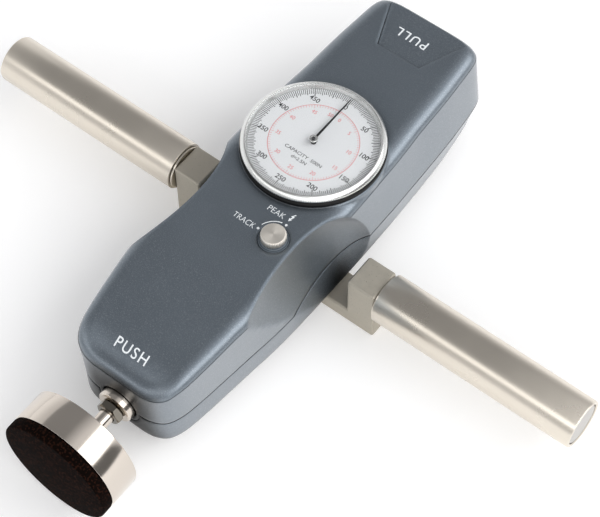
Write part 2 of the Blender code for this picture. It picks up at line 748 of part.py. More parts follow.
def make_handles(nickel, black, pale, zinc):
    for name, side in (("left", -1), ("right", 1)):
        at = (0, 0, HANDLE_HEIGHT)
        start, end = sorted((side * TUBE_START, side * HANDLE_REACH))
        profile = ring_profile(TUBE_RADIUS - TUBE_WALL, TUBE_RADIUS, start, end, TUBE_EDGE)
        finish(turned("tube", profile, at, "X"), f"handle_tube_{name}", nickel)
        start, end = sorted((side * SPACER_START, side * (SPACER_START + SPACER_THICK)))
        bore = HANDLE_SCREW_RADIUS + GAP
        profile = ring_profile(bore, TUBE_RADIUS - SPACER_INSET, start, end)
        finish(turned("spacer", profile, at, "X"), f"handle_spacer_{name}", black)
        start, end = sorted((side * TUBE_START, side * (TUBE_START + INSERT_LENGTH)))
        profile = ring_profile(bore, INSERT_RADIUS, start, end)
        finish(turned("insert", profile, at, "X", SMALL_STEPS * 2), f"handle_insert_{name}", zinc)
        cap_end = HANDLE_REACH - CAP_RECESS
        start, end = sorted((side * (cap_end - CAP_LENGTH), side * cap_end))
        finish(cylinder("cap", INSERT_RADIUS, start, end, at, "X"), f"handle_cap_{name}", pale)
        at = (side * BLOCK_INNER, 0, HANDLE_HEIGHT)
        screw = countersunk_screw(at, "X", side, HANDLE_SCREW_HEAD, HANDLE_SCREW_RADIUS, HANDLE_SCREW_LENGTH)
        finish(screw, f"handle_screw_{name}", zinc)


def front_adapter(face_y):
    """A polished head with its stud, at the push end of the shaft."""
    profile = (
        (0, HEAD_LENGTH),
        (HEAD_RADIUS - HEAD_EDGE, HEAD_LENGTH),
        (HEAD_RADIUS, HEAD_LENGTH - HEAD_EDGE),
        (HEAD_RADIUS, HEAD_EDGE),
        (HEAD_RADIUS - HEAD_EDGE, 0),
        (STUD_RADIUS, 0),
        (STUD_RADIUS, STUD_EDGE - STUD_LENGTH),
        (STUD_RADIUS - STUD_EDGE, -STUD_LENGTH),
        (0, -STUD_LENGTH),
    )
    return turned("adapter", profile, (0, face_y, SHAFT_HEIGHT), "Y")


def rear_adapter(face_y):
    """The same head at the pull end, with a threaded hole in place of the stud."""
    profile = (
        (0, -REAR_HEAD_LENGTH),
        (HEAD_RADIUS - HEAD_EDGE, -REAR_HEAD_LENGTH),
        (HEAD_RADIUS, HEAD_EDGE - REAR_HEAD_LENGTH),
        (HEAD_RADIUS, -HEAD_EDGE),
        (HEAD_RADIUS - HEAD_EDGE, 0),
        (THREAD_RADIUS, 0),
        (THREAD_RADIUS, -THREAD_DEPTH),
        (0, -THREAD_DEPTH),
    )
    return turned("adapter", profile, (0, face_y, SHAFT_HEIGHT), "Y")


def make_shaft(steel, polished, stainless, facing):
    front_face = FRONT_FACE_Y - HEAD_PROUD
    rear_face = REAR_FACE_Y + HEAD_PROUD
    shaft_low = front_face + HEAD_LENGTH + GAP
    shaft_high = rear_face - REAR_HEAD_LENGTH - GAP
    profile = (
        (0, shaft_low),
        (SHAFT_RADIUS, shaft_low),
        (SHAFT_RADIUS, FRONT_COLLAR_Y),
        (COLLAR_RADIUS, FRONT_COLLAR_Y),
        (COLLAR_RADIUS, FRONT_COLLAR_Y + COLLAR_LENGTH),
        (SHAFT_RADIUS, FRONT_COLLAR_Y + COLLAR_LENGTH),
        (SHAFT_RADIUS, REAR_COLLAR_Y - COLLAR_LENGTH),
        (COLLAR_RADIUS, REAR_COLLAR_Y - COLLAR_LENGTH),
        (COLLAR_RADIUS, REAR_COLLAR_Y),
        (SHAFT_RADIUS, REAR_COLLAR_Y),
        (SHAFT_RADIUS, shaft_high),
        (0, shaft_high),
    )
    at = (0, 0, SHAFT_HEIGHT)
    finish(turned("shaft", profile, at, "Y", SMALL_STEPS * 2), "measuring_shaft", steel)
    finish(front_adapter(front_face), "front_adapter", polished)
    finish(rear_adapter(rear_face), "rear_adapter", polished)

    corner = NUT_HALF_FLATS / math.cos(math.pi / 6)
    hexagon = [on_axis("Z", corner, math.tau * step / 6, 0)[:2] for step in range(6)]
    nut_high = front_face - GAP
    nut = extruded("nut", hexagon, nut_high - NUT_THICK, nut_high, at, "Y")
    bore = STUD_RADIUS + GAP
    cut(nut, cylinder("bore", bore, nut_high - NUT_THICK - OVERRUN, nut_high + OVERRUN, at, "Y", SMALL_STEPS * 2))
    finish(nut, "jam_nut", polished)

    pad_front = -PAD_BACK - PAD_THICK
    stud_end = front_face - STUD_LENGTH - GAP
    profile = (
        (0, pad_front),
        (PAD_RADIUS - PAD_EDGE, pad_front),
        (PAD_RADIUS, pad_front + PAD_EDGE),
        (PAD_RADIUS, -PAD_BACK - PAD_EDGE),
        (PAD_RADIUS - PAD_EDGE, -PAD_BACK),
        (bore, -PAD_BACK),
        (bore, stud_end),
        (0, stud_end),
    )
    finish(turned("pad", profile, at, "Y", FINE_STEPS), "pad_disc", stainless)
    facing_back = pad_front - GAP
    facing_front = facing_back - FACING_THICK
    profile = (
        (0, facing_front),
        (PAD_RADIUS - FACING_EDGE, facing_front),
        (PAD_RADIUS, facing_front + FACING_EDGE),
        (PAD_RADIUS, facing_back),
        (0, facing_back),
    )
    finish(turned("facing", profile, at, "Y", FINE_STEPS), "pad_facing", facing)


def coil(name, low, high, turns, surface):
    """A measuring spring round the shaft, as one unbroken wire."""
    start = low + GAP + SPRING_WIRE
    rise = high - low - 2 * (GAP + SPRING_WIRE)
    count = turns * SPRING_POINTS
    slope = math.atan2(rise / turns, math.tau * SPRING_MEAN)
    points = []
    for index in range(count + 1):
        turn = math.tau * index / SPRING_POINTS
        outward = Vector((math.cos(turn), 0, math.sin(turn)))
        centre = outward * SPRING_MEAN + Vector((0, start + rise * index / count, 0))
        forward = Vector((-math.sin(turn) * math.cos(slope), math.sin(slope), math.cos(turn) * math.cos(slope)))
        sideways = forward.cross(outward)
        for side in range(SPRING_SIDES):
            angle = math.tau * side / SPRING_SIDES
            points.append(centre + (outward * math.cos(angle) + sideways * math.sin(angle)) * SPRING_WIRE)
    faces = [list(range(SPRING_SIDES)), list(range(count * SPRING_SIDES, (count + 1) * SPRING_SIDES))]
    for index in range(count):
        for side in range(SPRING_SIDES):
            after = (side + 1) % SPRING_SIDES
            ring = index * SPRING_SIDES
            faces.append([ring + side, ring + after, ring + SPRING_SIDES + after, ring + SPRING_SIDES + side])
    finish(solid(name, points, faces, (0, 0, SHAFT_HEIGHT)), name, surface)
    least_gap = rise / turns - 2 * SPRING_WIRE
    print(f"{name}: least gap between turns {least_gap / MM:.2f} mm")


def pillar_places():
    for x in (-PILLAR_X, PILLAR_X):
        for y in (PLATE_FRONT + PILLAR_INSET, PLATE_REAR - PILLAR_INSET):
            yield x, y


def make_chassis(zinc, bronze, wire):
    """The base plate with its bulkheads, pillars and idler post, its bushes and the springs."""
    low_y = FRONT_BULKHEAD_Y - BULKHEAD_THICK - BULKHEAD_MARGIN
    high_y = REAR_BULKHEAD_Y + BULKHEAD_THICK + BULKHEAD_MARGIN
    half = CHASSIS_HALF_WIDTH
    chassis = block("chassis", (-half, low_y, CHASSIS_BOTTOM), (half, high_y, CHASSIS_TOP))
    added = []
    holes = []
    for face, inward in ((FRONT_BULKHEAD_Y, 1), (REAR_BULKHEAD_Y, -1)):
        far = face - inward * BULKHEAD_THICK
        near_y, far_y = sorted((face, far))
        low = CHASSIS_TOP - EMBED
        added.append(block("wall", (-BULKHEAD_HALF, near_y, low), (BULKHEAD_HALF, far_y, BULKHEAD_TOP)))
        holes.append(cylinder("hole", BUSH_RADIUS + GAP, near_y - OVERRUN, far_y + OVERRUN, (0, 0, SHAFT_HEIGHT),
                              "Y", SMALL_STEPS * 2))
        flange = BUSH_RADIUS + BUSH_FLANGE
        profile = (
            (SHAFT_RADIUS + GAP, face),
            (BUSH_RADIUS, face),
            (BUSH_RADIUS, far - inward * GAP),
            (flange, far - inward * GAP),
            (flange, far - inward * (GAP + BUSH_FLANGE_THICK)),
            (SHAFT_RADIUS + GAP, far - inward * (GAP + BUSH_FLANGE_THICK)),
        )
        name = "front" if inward > 0 else "rear"
        bush = turned("bush", profile, (0, 0, SHAFT_HEIGHT), "Y", SMALL_STEPS * 2)
        finish(bush, f"guide_bush_{name}", bronze)
    pillar_top = PLATE_BOTTOM - GAP
    low = CHASSIS_TOP - EMBED
    for x, y in pillar_places():
        added.append(cylinder("pillar", PILLAR_RADIUS, low, pillar_top, (x, y, 0), steps=SMALL_STEPS))
        holes.append(cylinder("hole", PLATE_SCREW_RADIUS + GAP, PLATE_TOP - PLATE_SCREW_LENGTH - GAP,
                              pillar_top + OVERRUN, (x, y, 0), steps=SMALL_STEPS))
    idler = (IDLER_X, IDLER_Y, 0)
    post_top = PINION_BOTTOM - GAP
    added.append(cylinder("post", POST_RADIUS, low, post_top, idler, steps=SMALL_STEPS))
    holes.append(cylinder("socket", ARBOR_RADIUS + GAP, post_top - POST_SOCKET - GAP, post_top + OVERRUN, idler,
                          steps=SMALL_STEPS))
    for x, y, radius in floor_screws():
        added.append(cylinder("boss", FLOOR_BOSS, low, FLOOR_BOSS_TOP, (x, y, 0), steps=SMALL_STEPS))
        holes.append(cylinder("hole", radius + GAP, CHASSIS_BOTTOM - OVERRUN, FLOOR_BOSS_TOP + OVERRUN, (x, y, 0),
                              steps=SMALL_STEPS))
    join(chassis, *added)
    cut(chassis, *holes)
    finish(chassis, "chassis", zinc)
    coil("spring_front", FRONT_BULKHEAD_Y, FRONT_COLLAR_Y, FRONT_SPRING_TURNS, wire)
    coil("spring_rear", REAR_COLLAR_Y, REAR_BULKHEAD_Y, REAR_SPRING_TURNS, wire)


def floor_screws():
    yield 0, CHASSIS_SCREW_FRONT_Y, FLOOR_SCREW_RADIUS
    yield 0, CHASSIS_SCREW_REAR_Y, FLOOR_SCREW_RADIUS
    yield -BRACKET_SCREW_X, 0, BRACKET_SCREW_RADIUS
    yield BRACKET_SCREW_X, 0, BRACKET_SCREW_RADIUS


def gear_outline(teeth, pitch_radius, facing):
    """A gear's outline, with one tooth centred on the facing angle."""
    pitch = math.tau * pitch_radius / teeth
    outline = []
    for tooth in range(teeth):
        middle = facing + math.tau * tooth / teeth
        root = pitch_radius - DEDENDUM
        tip = pitch_radius + ADDENDUM
        flank = (TOOTH_SHARE - TIP_SHARE) * DEDENDUM / ADDENDUM + TOOTH_SHARE
        root_half = pitch * flank / 2 / pitch_radius
        tip_half = pitch * TIP_SHARE / 2 / tip
        for radius, angle in ((root, -root_half), (tip, -tip_half), (tip, tip_half), (root, root_half)):
            outline.append((radius * math.cos(middle + angle), radius * math.sin(middle + angle)))
    return outline


def make_train(brass, steel):
    """Rack, idler and pointer arbor, in mesh at rest."""
    teeth_half = RACK_PITCH * RACK_TEETH / 2
    root_x = RACK_LINE_X + DEDENDUM
    tip_x = RACK_LINE_X - ADDENDUM
    root_half = RACK_PITCH * ((TOOTH_SHARE - TIP_SHARE) * DEDENDUM / ADDENDUM + TOOTH_SHARE) / 2
    tip_half = RACK_PITCH * TIP_SHARE / 2
    outline = [(root_x + RACK_WIDTH, IDLER_Y + teeth_half), (root_x + RACK_WIDTH, IDLER_Y - teeth_half)]
    outline.append((root_x, IDLER_Y - teeth_half))
    for tooth in range(RACK_TEETH):
        middle = IDLER_Y + RACK_PITCH * (tooth - RACK_TEETH // 2)
        outline += [(root_x, middle - root_half), (tip_x, middle - tip_half)]
        outline += [(tip_x, middle + tip_half), (root_x, middle + root_half)]
    outline.append((root_x, IDLER_Y + teeth_half))
    finish(extruded("rack", outline, RACK_BOTTOM, RACK_BOTTOM + RACK_HEIGHT), "rack", steel)

    at = (IDLER_X, IDLER_Y, 0)
    to_arbor = math.atan2(DIAL_Y - IDLER_Y, -IDLER_X)
    pinion_outline = gear_outline(IDLER_TEETH, IDLER_PITCH, math.pi / IDLER_TEETH)
    idler = extruded("idler", pinion_outline, PINION_BOTTOM, PINION_BOTTOM + PINION_THICK, at)
    wheel = extruded("wheel", gear_outline(WHEEL_TEETH, WHEEL_RADIUS, to_arbor), WHEEL_HEIGHT,
                     WHEEL_HEIGHT + WHEEL_THICK, at)
    arbor = cylinder("arbor", ARBOR_RADIUS, PINION_BOTTOM - GAP - POST_SOCKET, PLATE_TOP, at, steps=SMALL_STEPS)
    sleeve = cylinder("sleeve", IDLER_PITCH - DEDENDUM - EMBED, PINION_BOTTOM + PINION_THICK - EMBED,
                      WHEEL_HEIGHT + EMBED, at, steps=SMALL_STEPS)
    finish(join(idler, arbor, sleeve, wheel), "idler_gear", brass)

    at = (0, DIAL_Y, 0)
    facing = to_arbor + math.pi + math.pi / ARBOR_TEETH
    arbor = extruded("arbor", gear_outline(ARBOR_TEETH, ARBOR_PITCH, facing), WHEEL_HEIGHT,
                     WHEEL_HEIGHT + WHEEL_THICK, at)
    hub_top = HUB_BOTTOM + HUB_THICK
    stem = (
        (0, WHEEL_HEIGHT + EMBED),
        (ARBOR_RADIUS, WHEEL_HEIGHT + EMBED),
        (ARBOR_RADIUS, LEVER_BOTTOM),
        (HOLD_WHEEL_RADIUS, LEVER_BOTTOM),
        (HOLD_WHEEL_RADIUS, LEVER_BOTTOM + HOLD_WHEEL_THICK),
        (ARBOR_RADIUS, LEVER_BOTTOM + HOLD_WHEEL_THICK),
        (ARBOR_TIP, DIAL_TOP - DIAL_THICK - GAP),
        (ARBOR_TIP, hub_top),
        (0, hub_top),
    )
    finish(join(arbor, turned("stem", stem, at, steps=SMALL_STEPS * 2)), "pointer_arbor", steel)


def make_plate(brass, zinc, steel):
    """The movement plate on its pillars, with bearings for both arbors and the lever's pivot."""
    outline = (
        (-PLATE_HALF, PLATE_FRONT),
        (PLATE_HALF, PLATE_FRONT),
        (PLATE_HALF, PLATE_REAR),
        (-PLATE_HALF, PLATE_REAR),
    )
    plate = extruded("plate", outline, PLATE_BOTTOM, PLATE_TOP)
    bosses = []
    holes = []
    for x, y, radius in ((0, DIAL_Y, ARBOR_RADIUS), (KNOB_X, LEVER_PIVOT_Y, PIVOT_RADIUS)):
        bosses.append(cylinder("boss", PLATE_BOSS, PLATE_TOP - EMBED, BOSS_TOP, (x, y, 0), steps=SMALL_STEPS * 2))
        holes.append(cylinder("bore", radius + GAP, PLATE_BOTTOM - OVERRUN, BOSS_TOP + OVERRUN, (x, y, 0),
                              steps=SMALL_STEPS))
    places = [(x, y, PLATE_SCREW_RADIUS) for x, y in pillar_places()] + [(IDLER_X, IDLER_Y, ARBOR_RADIUS)]
    for x, y, radius in places:
        holes.append(cylinder("hole", radius + GAP, PLATE_BOTTOM - OVERRUN, PLATE_TOP + OVERRUN, (x, y, 0),
                              steps=SMALL_STEPS))
    join(plate, *bosses)
    cut(plate, *holes)
    finish(plate, "movement_plate", brass)
    for number, (x, y) in enumerate(pillar_places(), 1):
        screw = pan_screw(PLATE_SCREW_HEAD, PLATE_SCREW_HEAD_THICK, PLATE_SCREW_RADIUS, PLATE_SCREW_LENGTH,
                          (x, y, PLATE_TOP + GAP), -1)
        finish(screw, f"plate_screw_{number}", zinc)
    pivot_length = LEVER_TOP - PLATE_BOTTOM + GAP
    pivot = pan_screw(PIVOT_HEAD, PIVOT_HEAD_THICK, PIVOT_RADIUS, pivot_length,
                      (KNOB_X, LEVER_PIVOT_Y, LEVER_TOP + GAP), -1)
    finish(pivot, "lever_pivot", steel)


def make_dial(chrome, black, white, glass, steel):
    """Fixed seat, then the turning bezel, crystal and scale, then the pointer."""
    at = (0, DIAL_Y, 0)
    base = BOSS_FACE + GAP
    seat = (
        (SEAT_BORE, TOP_HEIGHT - SEAT_DEPTH),
        (SEAT_SPIGOT, TOP_HEIGHT - SEAT_DEPTH),
        (SEAT_SPIGOT, base),
        (SEAT_RADIUS, base),
        (SEAT_RADIUS, SEAT_TOP),
        (DIAL_RADIUS + GAP, SEAT_TOP),
        (DIAL_RADIUS + GAP, SEAT_LAND),
        (SEAT_BORE, SEAT_LAND),
    )
    finish(turned("seat", seat, at, steps=FINE_STEPS), "bezel_seat", black)
    rebate = CRYSTAL_RADIUS + GAP
    bezel = (
        (BEZEL_OPENING, BEZEL_BOTTOM),
        (BEZEL_RADIUS - BEZEL_EDGE, BEZEL_BOTTOM),
        (BEZEL_RADIUS, BEZEL_BOTTOM + BEZEL_EDGE),
        (BEZEL_RADIUS, BEZEL_TOP - BEZEL_EDGE),
        (BEZEL_RADIUS - BEZEL_EDGE, BEZEL_TOP),
        (rebate, BEZEL_TOP),
        (rebate, LEDGE_HEIGHT),
        (BEZEL_OPENING, LEDGE_HEIGHT),
    )
    finish(turned("bezel", bezel, at, steps=FINE_STEPS), "bezel", chrome)
    rim_low = LEDGE_HEIGHT + GAP
    under = []
    over = []
    for ring in range(CRYSTAL_RINGS + 1):
        share = 1 - ring / CRYSTAL_RINGS
        rise = CRYSTAL_DOME * (1 - share**2)
        under.append((CRYSTAL_RADIUS * share, rim_low + rise))
        over.append((CRYSTAL_RADIUS * share, rim_low + CRYSTAL_THICK + rise))
    crystal = turned("crystal", under[::-1] + over, at, steps=FINE_STEPS)
    finish(crystal, "crystal", glass)
    profile = ring_profile(DIAL_HOLE, DIAL_RADIUS, DIAL_TOP - DIAL_THICK, DIAL_TOP)
    finish(turned("dial", profile, at, steps=FINE_STEPS), "dial_face", white)

    profile = ring_profile(ARBOR_TIP + GAP, HUB_RADIUS, HUB_BOTTOM, HUB_BOTTOM + HUB_THICK)
    finish(turned("hub", profile, at, steps=SMALL_STEPS * 2), "pointer_hub", steel)
    blade = (
        (-POINTER_HALF_ROOT, 0),
        (POINTER_HALF_ROOT, 0),
        (POINTER_HALF_TIP, POINTER_LENGTH),
        (-POINTER_HALF_TIP, POINTER_LENGTH),
    )
    pointer = extruded("pointer", blade, POINTER_BOTTOM, POINTER_BOTTOM + POINTER_THICK, at)
    ring = cylinder("ring", POINTER_RING, POINTER_BOTTOM, POINTER_BOTTOM + POINTER_THICK, at, steps=SMALL_STEPS * 2)
    join(pointer, ring)
    cut(pointer, cylinder("bore", ARBOR_TIP + GAP, POINTER_BOTTOM - OVERRUN, POINTER_BOTTOM + OVERRUN, at,
                          steps=SMALL_STEPS))
    finish(pointer, "pointer", black)


def lever_outline():
    """Fork to the crank, hub on the pivot, arm to the hold wheel, drawn round the pivot before it turns."""
    reach = LEVER_PIVOT_Y - KNOB_Y
    slot_half = CRANK_PIN + LEVER_SLOT
    prong_half = slot_half + LEVER_PRONG
    fork_low = -reach
    fork_high = fork_low + LEVER_FORK
    to_wheel = Vector((-KNOB_X, DIAL_Y - LEVER_PIVOT_Y))
    aim = Matrix.Rotation(-LEVER_REST, 2)
    along = (aim @ to_wheel).normalized()
    across = Vector((along.y, -along.x))
    tip = along * (to_wheel.length - HOLD_WHEEL_RADIUS - LEVER_TIP_GAP)
    far = across * LEVER_TIP_HALF
    outline = [
        (-slot_half, fork_low),
        (-slot_half, fork_high),
        (slot_half, fork_high),
        (slot_half, fork_low),
        (prong_half, fork_low),
        (prong_half, fork_high + LEVER_PRONG),
        (LEVER_ARM_HALF, fork_high + 2 * LEVER_PRONG),
        (LEVER_ARM_HALF, 0),
        ((tip + far).x, (tip + far).y),
        ((tip - far).x, (tip - far).y),
        (-LEVER_ARM_HALF, 0),
        (-LEVER_ARM_HALF, fork_high + 2 * LEVER_PRONG),
        (-prong_half, fork_high + LEVER_PRONG),
        (-prong_half, fork_low),
    ]
    return outline


def make_knob(satin, black, steel):
    at = (KNOB_X, KNOB_Y, 0)
    knob = (
        (0, CRANK_BOTTOM),
        (KNOB_STEM, CRANK_BOTTOM),
        (KNOB_STEM, KNOB_BOTTOM),
        (KNOB_RADIUS, KNOB_BOTTOM),
        (KNOB_RADIUS, KNOB_TOP - KNOB_EDGE),
        (KNOB_RADIUS - KNOB_EDGE, KNOB_TOP),
        (0, KNOB_TOP),
    )
    finish(turned("knob", knob, at), "mode_knob", satin)
    spigot_low = TOP_HEIGHT - CASE_WALL - GAP
    collar = (
        (KNOB_STEM + GAP, spigot_low),
        (COLLAR_SPIGOT, spigot_low),
        (COLLAR_SPIGOT, KNOB_RECESS + GAP),
        (COLLAR_FLANGE, KNOB_RECESS + GAP),
        (COLLAR_FLANGE, COLLAR_TOP),
        (KNOB_STEM + GAP, COLLAR_TOP),
    )
    finish(turned("collar", collar, at), "knob_collar", black)
    crank = turned("crank", ring_profile(KNOB_STEM + GAP, CRANK_RADIUS, CRANK_BOTTOM, CRANK_TOP), at,
                   steps=SMALL_STEPS * 2)
    pin_at = (
        KNOB_X + CRANK_THROW * math.cos(CRANK_PIN_ANGLE),
        KNOB_Y + CRANK_THROW * math.sin(CRANK_PIN_ANGLE),
        0,
    )
    join(crank, cylinder("pin", CRANK_PIN, LEVER_BOTTOM - GAP, CRANK_BOTTOM + EMBED, pin_at, steps=SMALL_STEPS))
    finish(crank, "knob_crank", steel)

    pivot_at = (KNOB_X, LEVER_PIVOT_Y, 0)
    lever = extruded("lever", lever_outline(), LEVER_BOTTOM, LEVER_TOP, pivot_at)
    join(lever, cylinder("hub", LEVER_HUB, LEVER_BOTTOM, LEVER_TOP, pivot_at, steps=SMALL_STEPS * 2))
    cut(lever, cylinder("bore", PIVOT_RADIUS + GAP, LEVER_BOTTOM - OVERRUN, LEVER_TOP + OVERRUN, pivot_at,
                        steps=SMALL_STEPS))
    lever.data.transform(Matrix.Rotation(-LEVER_REST, 4, "Z"))
    finish(lever, "hold_lever", steel)


def main():
    clear_scene()
    paint = material("blue_grey_paint", 0.105, 0.133, 0.158, 0.0, 0.42)
    blasted = material("blasted_metal", 0.42, 0.40, 0.37, 1.0, 0.55)
    nickel = material("satin_nickel", 0.62, 0.60, 0.56, 1.0, 0.32)
    pale = material("pale_end_cap", 0.62, 0.62, 0.60, 0.0, 0.5)
    chrome = material("bright_ring", 0.75, 0.76, 0.76, 1.0, 0.18)
    stainless = material("polished_stainless", 0.66, 0.65, 0.63, 1.0, 0.15)
    satin = material("satin_aluminium", 0.66, 0.65, 0.62, 1.0, 0.35)
    black = material("black_plastic", 0.015, 0.015, 0.016, 0.0, 0.5)
    white = material("white_dial", 0.85, 0.86, 0.87, 0.0, 0.6)
    glass = material("clear_crystal", 0.9, 0.93, 0.95, 0.0, 0.05)
    facing = material("cork_rubber", 0.03, 0.018, 0.014, 0.0, 0.85)
    zinc = material("zinc_plated_steel", 0.50, 0.50, 0.50, 1.0, 0.4)
    steel = material("tool_steel", 0.42, 0.42, 0.43, 1.0, 0.35)
    brass = material("brass", 0.60, 0.44, 0.17, 1.0, 0.35)

    make_housing(paint)
    make_housing_screws(zinc)
    make_bracket(blasted)
    make_handles(nickel, black, pale, zinc)
    make_shaft(steel, stainless, stainless, facing)
    make_chassis(zinc, brass, steel)
    make_train(brass, steel)
    make_plate(brass, zinc, steel)
    make_dial(chrome, black, white, glass, steel)
    make_knob(satin, black, steel)


main()
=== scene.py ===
"""Looks of the headstone stability tester: fine housing, printed dial, knurled rings, metals and lights.

Metres, in the part's own frame: X along the handles, the push pad at the -Y end, the dial facing +Z.
"""

import math

import bmesh
import bpy
from mathutils import Matrix, Vector


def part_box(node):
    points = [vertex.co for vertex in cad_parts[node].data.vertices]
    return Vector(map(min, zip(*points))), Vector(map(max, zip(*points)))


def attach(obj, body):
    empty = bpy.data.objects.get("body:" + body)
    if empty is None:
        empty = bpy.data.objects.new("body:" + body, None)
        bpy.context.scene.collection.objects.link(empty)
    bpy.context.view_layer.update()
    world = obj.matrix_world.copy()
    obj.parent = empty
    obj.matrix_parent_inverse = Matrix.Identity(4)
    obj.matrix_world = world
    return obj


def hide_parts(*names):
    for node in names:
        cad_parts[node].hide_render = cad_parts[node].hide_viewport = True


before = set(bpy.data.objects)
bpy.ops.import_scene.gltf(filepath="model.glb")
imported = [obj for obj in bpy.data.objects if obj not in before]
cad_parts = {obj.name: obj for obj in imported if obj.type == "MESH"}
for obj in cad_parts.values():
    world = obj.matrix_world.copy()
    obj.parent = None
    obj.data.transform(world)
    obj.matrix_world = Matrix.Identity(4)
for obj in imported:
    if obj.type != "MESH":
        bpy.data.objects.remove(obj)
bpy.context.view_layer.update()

MM = 0.001

# Clearances: between fitted pieces, each half of the parting groove, and points that count as one
GAP = 0.3 * MM
SEAM = 0.3 * MM
SLIVER = 0.002 * MM
# How far cutters run past a piece, and joined pieces into each other
OVERRUN = 3.0 * MM
EMBED = 0.5 * MM

# Steps round turned pieces
FINE_STEPS = 192
PLAIN_STEPS = 96
SMALL_STEPS = 32
SHARP_ANGLE = math.radians(30)

# Camera of the photograph
CAMERA_AZIMUTH = math.radians(-38.49874)
CAMERA_ELEVATION = math.radians(58.14175)
CAMERA_ROLL = math.radians(-0.95062)
CAMERA_PLACE = (0.26637, -0.32491, 0.67626)
CAMERA_LENS = 119.618
CAMERA_SENSOR = 36
CAMERA_NEAR = 0.01

# Housing
CASE_LENGTH = 197.0 * MM
CASE_PUSH_END = 98.0 * MM
CASE_HALF_WIDTH = 30.0 * MM
CASE_WALL = 2.5 * MM
CASE_BOTTOM = 7.8 * MM
BOTTOM_ROUND = 8.0 * MM
PARTING_HEIGHT = 26.0 * MM
CREASE_HEIGHT = 52.4 * MM
TOP_HEIGHT = 56.4 * MM
NOSE_DROP = 10.2 * MM
CREASE_STEP = 0.15 * MM
SHOULDER_WIDTH = 8.0 * MM
SHOULDER_REACH = 4.5 * MM
CASE_MIDDLE_Y = CASE_LENGTH / 2 - CASE_PUSH_END
FRONT_FACE_Y = -CASE_PUSH_END
REAR_FACE_Y = CASE_LENGTH - CASE_PUSH_END
PLAN_SHARES = (
    (0.0, 0.35), (0.002, 0.45), (0.008, 0.567), (0.019, 0.663), (0.036, 0.723), (0.056, 0.763),
    (0.081, 0.79), (0.117, 0.82), (0.171, 0.857), (0.224, 0.893), (0.278, 0.933), (0.335, 0.96),
    (0.396, 0.973), (0.475, 0.987), (0.586, 1.0), (0.655, 1.0), (0.711, 0.993), (0.782, 0.98),
    (0.857, 0.96), (0.91, 0.933), (0.954, 0.903), (0.975, 0.873), (0.989, 0.81), (0.9964, 0.70),
    (0.9995, 0.533), (1.0, 0.33),
)
NOSE_DROP_SHARES = (
    (0.0, 1.0), (0.02, 0.72), (0.045, 0.5), (0.09, 0.33), (0.14, 0.18), (0.19, 0.05), (0.25, 0.0), (1.0, 0.0),
)
UPPER_LEAN = 2.4 * MM
UPPER_LEAN_SHARES = (
    (0.0, -0.75), (0.2, -0.78), (0.3, -0.4), (0.45, 0.1), (0.6, 0.5), (0.7, 0.75), (0.78, 1.0), (0.9, 1.0),
    (1.0, 0.85),
)
LOWER_LEAN = 2.6 * MM
LOWER_LEAN_SHARES = ((0.0, 0.0), (0.35, 0.1), (0.6, 0.3), (0.8, 0.5), (1.0, 1.0))
OUTLINE_STEP = 1.6 * MM
SIDE_LEVELS = 6
ROUND_STEPS = 9
HOLLOW_LEVELS = 1
HOLLOW_ROUND_STEPS = 3
SCOOP_OUT = 20.7 * MM
SCOOP_CENTRE = Vector((CASE_HALF_WIDTH + SCOOP_OUT, -56.5 * MM, 59.0 * MM))
SCOOP_SIZES = (22.5 * MM, 45.0 * MM, 95.5 * MM)
SCOOP_ANGLES = (0.864, -0.255, 0.332)
SCOOP_SIDES = 128
HOLLOW_SCOOP_SIDES = 40
PANEL_START = 73.5 * MM
PANEL_DEPTH = 1.0 * MM
PANEL_NEAR_HALF = 10.0 * MM
PANEL_FAR_HALF = 21.6 * MM
CASE_BOSS = 3.6 * MM
CASE_SCREW_RADIUS = 1.5 * MM
CASE_SCREW_HEAD = 2.7 * MM
CASE_SCREW_HEAD_TOP = 15.4 * MM
CASE_SCREW_HOLE_TOP = 38.3 * MM
FRONT_SCREW_X = 15.39 * MM
FRONT_SCREW_Y = -85.0 * MM
REAR_SCREW_X = 19.38 * MM
REAR_SCREW_Y = 86.0 * MM
CHASSIS_SCREW_Y = 60.0 * MM
CHASSIS_SCREW_RADIUS = 1.5 * MM
CHASSIS_SCREW_HEAD = 2.9 * MM
BRACKET_SCREW_X = 13.0 * MM
BRACKET_SCREW_RADIUS = 2.0 * MM

# Shaft and pad. Each round is a table of (inward from the radius, back from the end face) in millimetres
SHAFT_HEIGHT = PARTING_HEIGHT
HEAD_RADIUS = 7.4 * MM
HEAD_LENGTH = 6.0 * MM
HEAD_CHAMFER = 0.6 * MM
HEAD_ROUND = ((0.0, 0.9), (0.1, 0.5), (0.4, 0.15), (0.8, 0.0))
PORT_RADIUS = HEAD_RADIUS + 0.7 * MM
TONGUE_RADIUS = PORT_RADIUS + 1.4 * MM
FRONT_HEAD_Y = FRONT_FACE_Y - 3.5 * MM
STUD_RADIUS = 3.0 * MM
STUD_LENGTH = 26.0 * MM
STUD_CHAMFER = 0.5 * MM
NUT_SIDES = 6
NUT_HALF_FLATS = 4.8 * MM
NUT_THICK = 3.2 * MM
NUT_CHAMFER = 0.6 * MM
NUT_FACE_SHARE = 0.96
PAD_RADIUS = 23.5 * MM
PAD_THICK = 13.5 * MM
PAD_BACK = 116.1 * MM
PAD_ROUND = ((0.5, 0.0), (0.15, 0.15), (0.0, 0.5))
FACING_RADIUS = 23.4 * MM
FACING_THICK = 4.7 * MM
FACING_CHAMFER = 0.2 * MM
FACING_ROUND = ((0.8, 0.0), (0.4, 0.1), (0.1, 0.4), (0.0, 0.9))

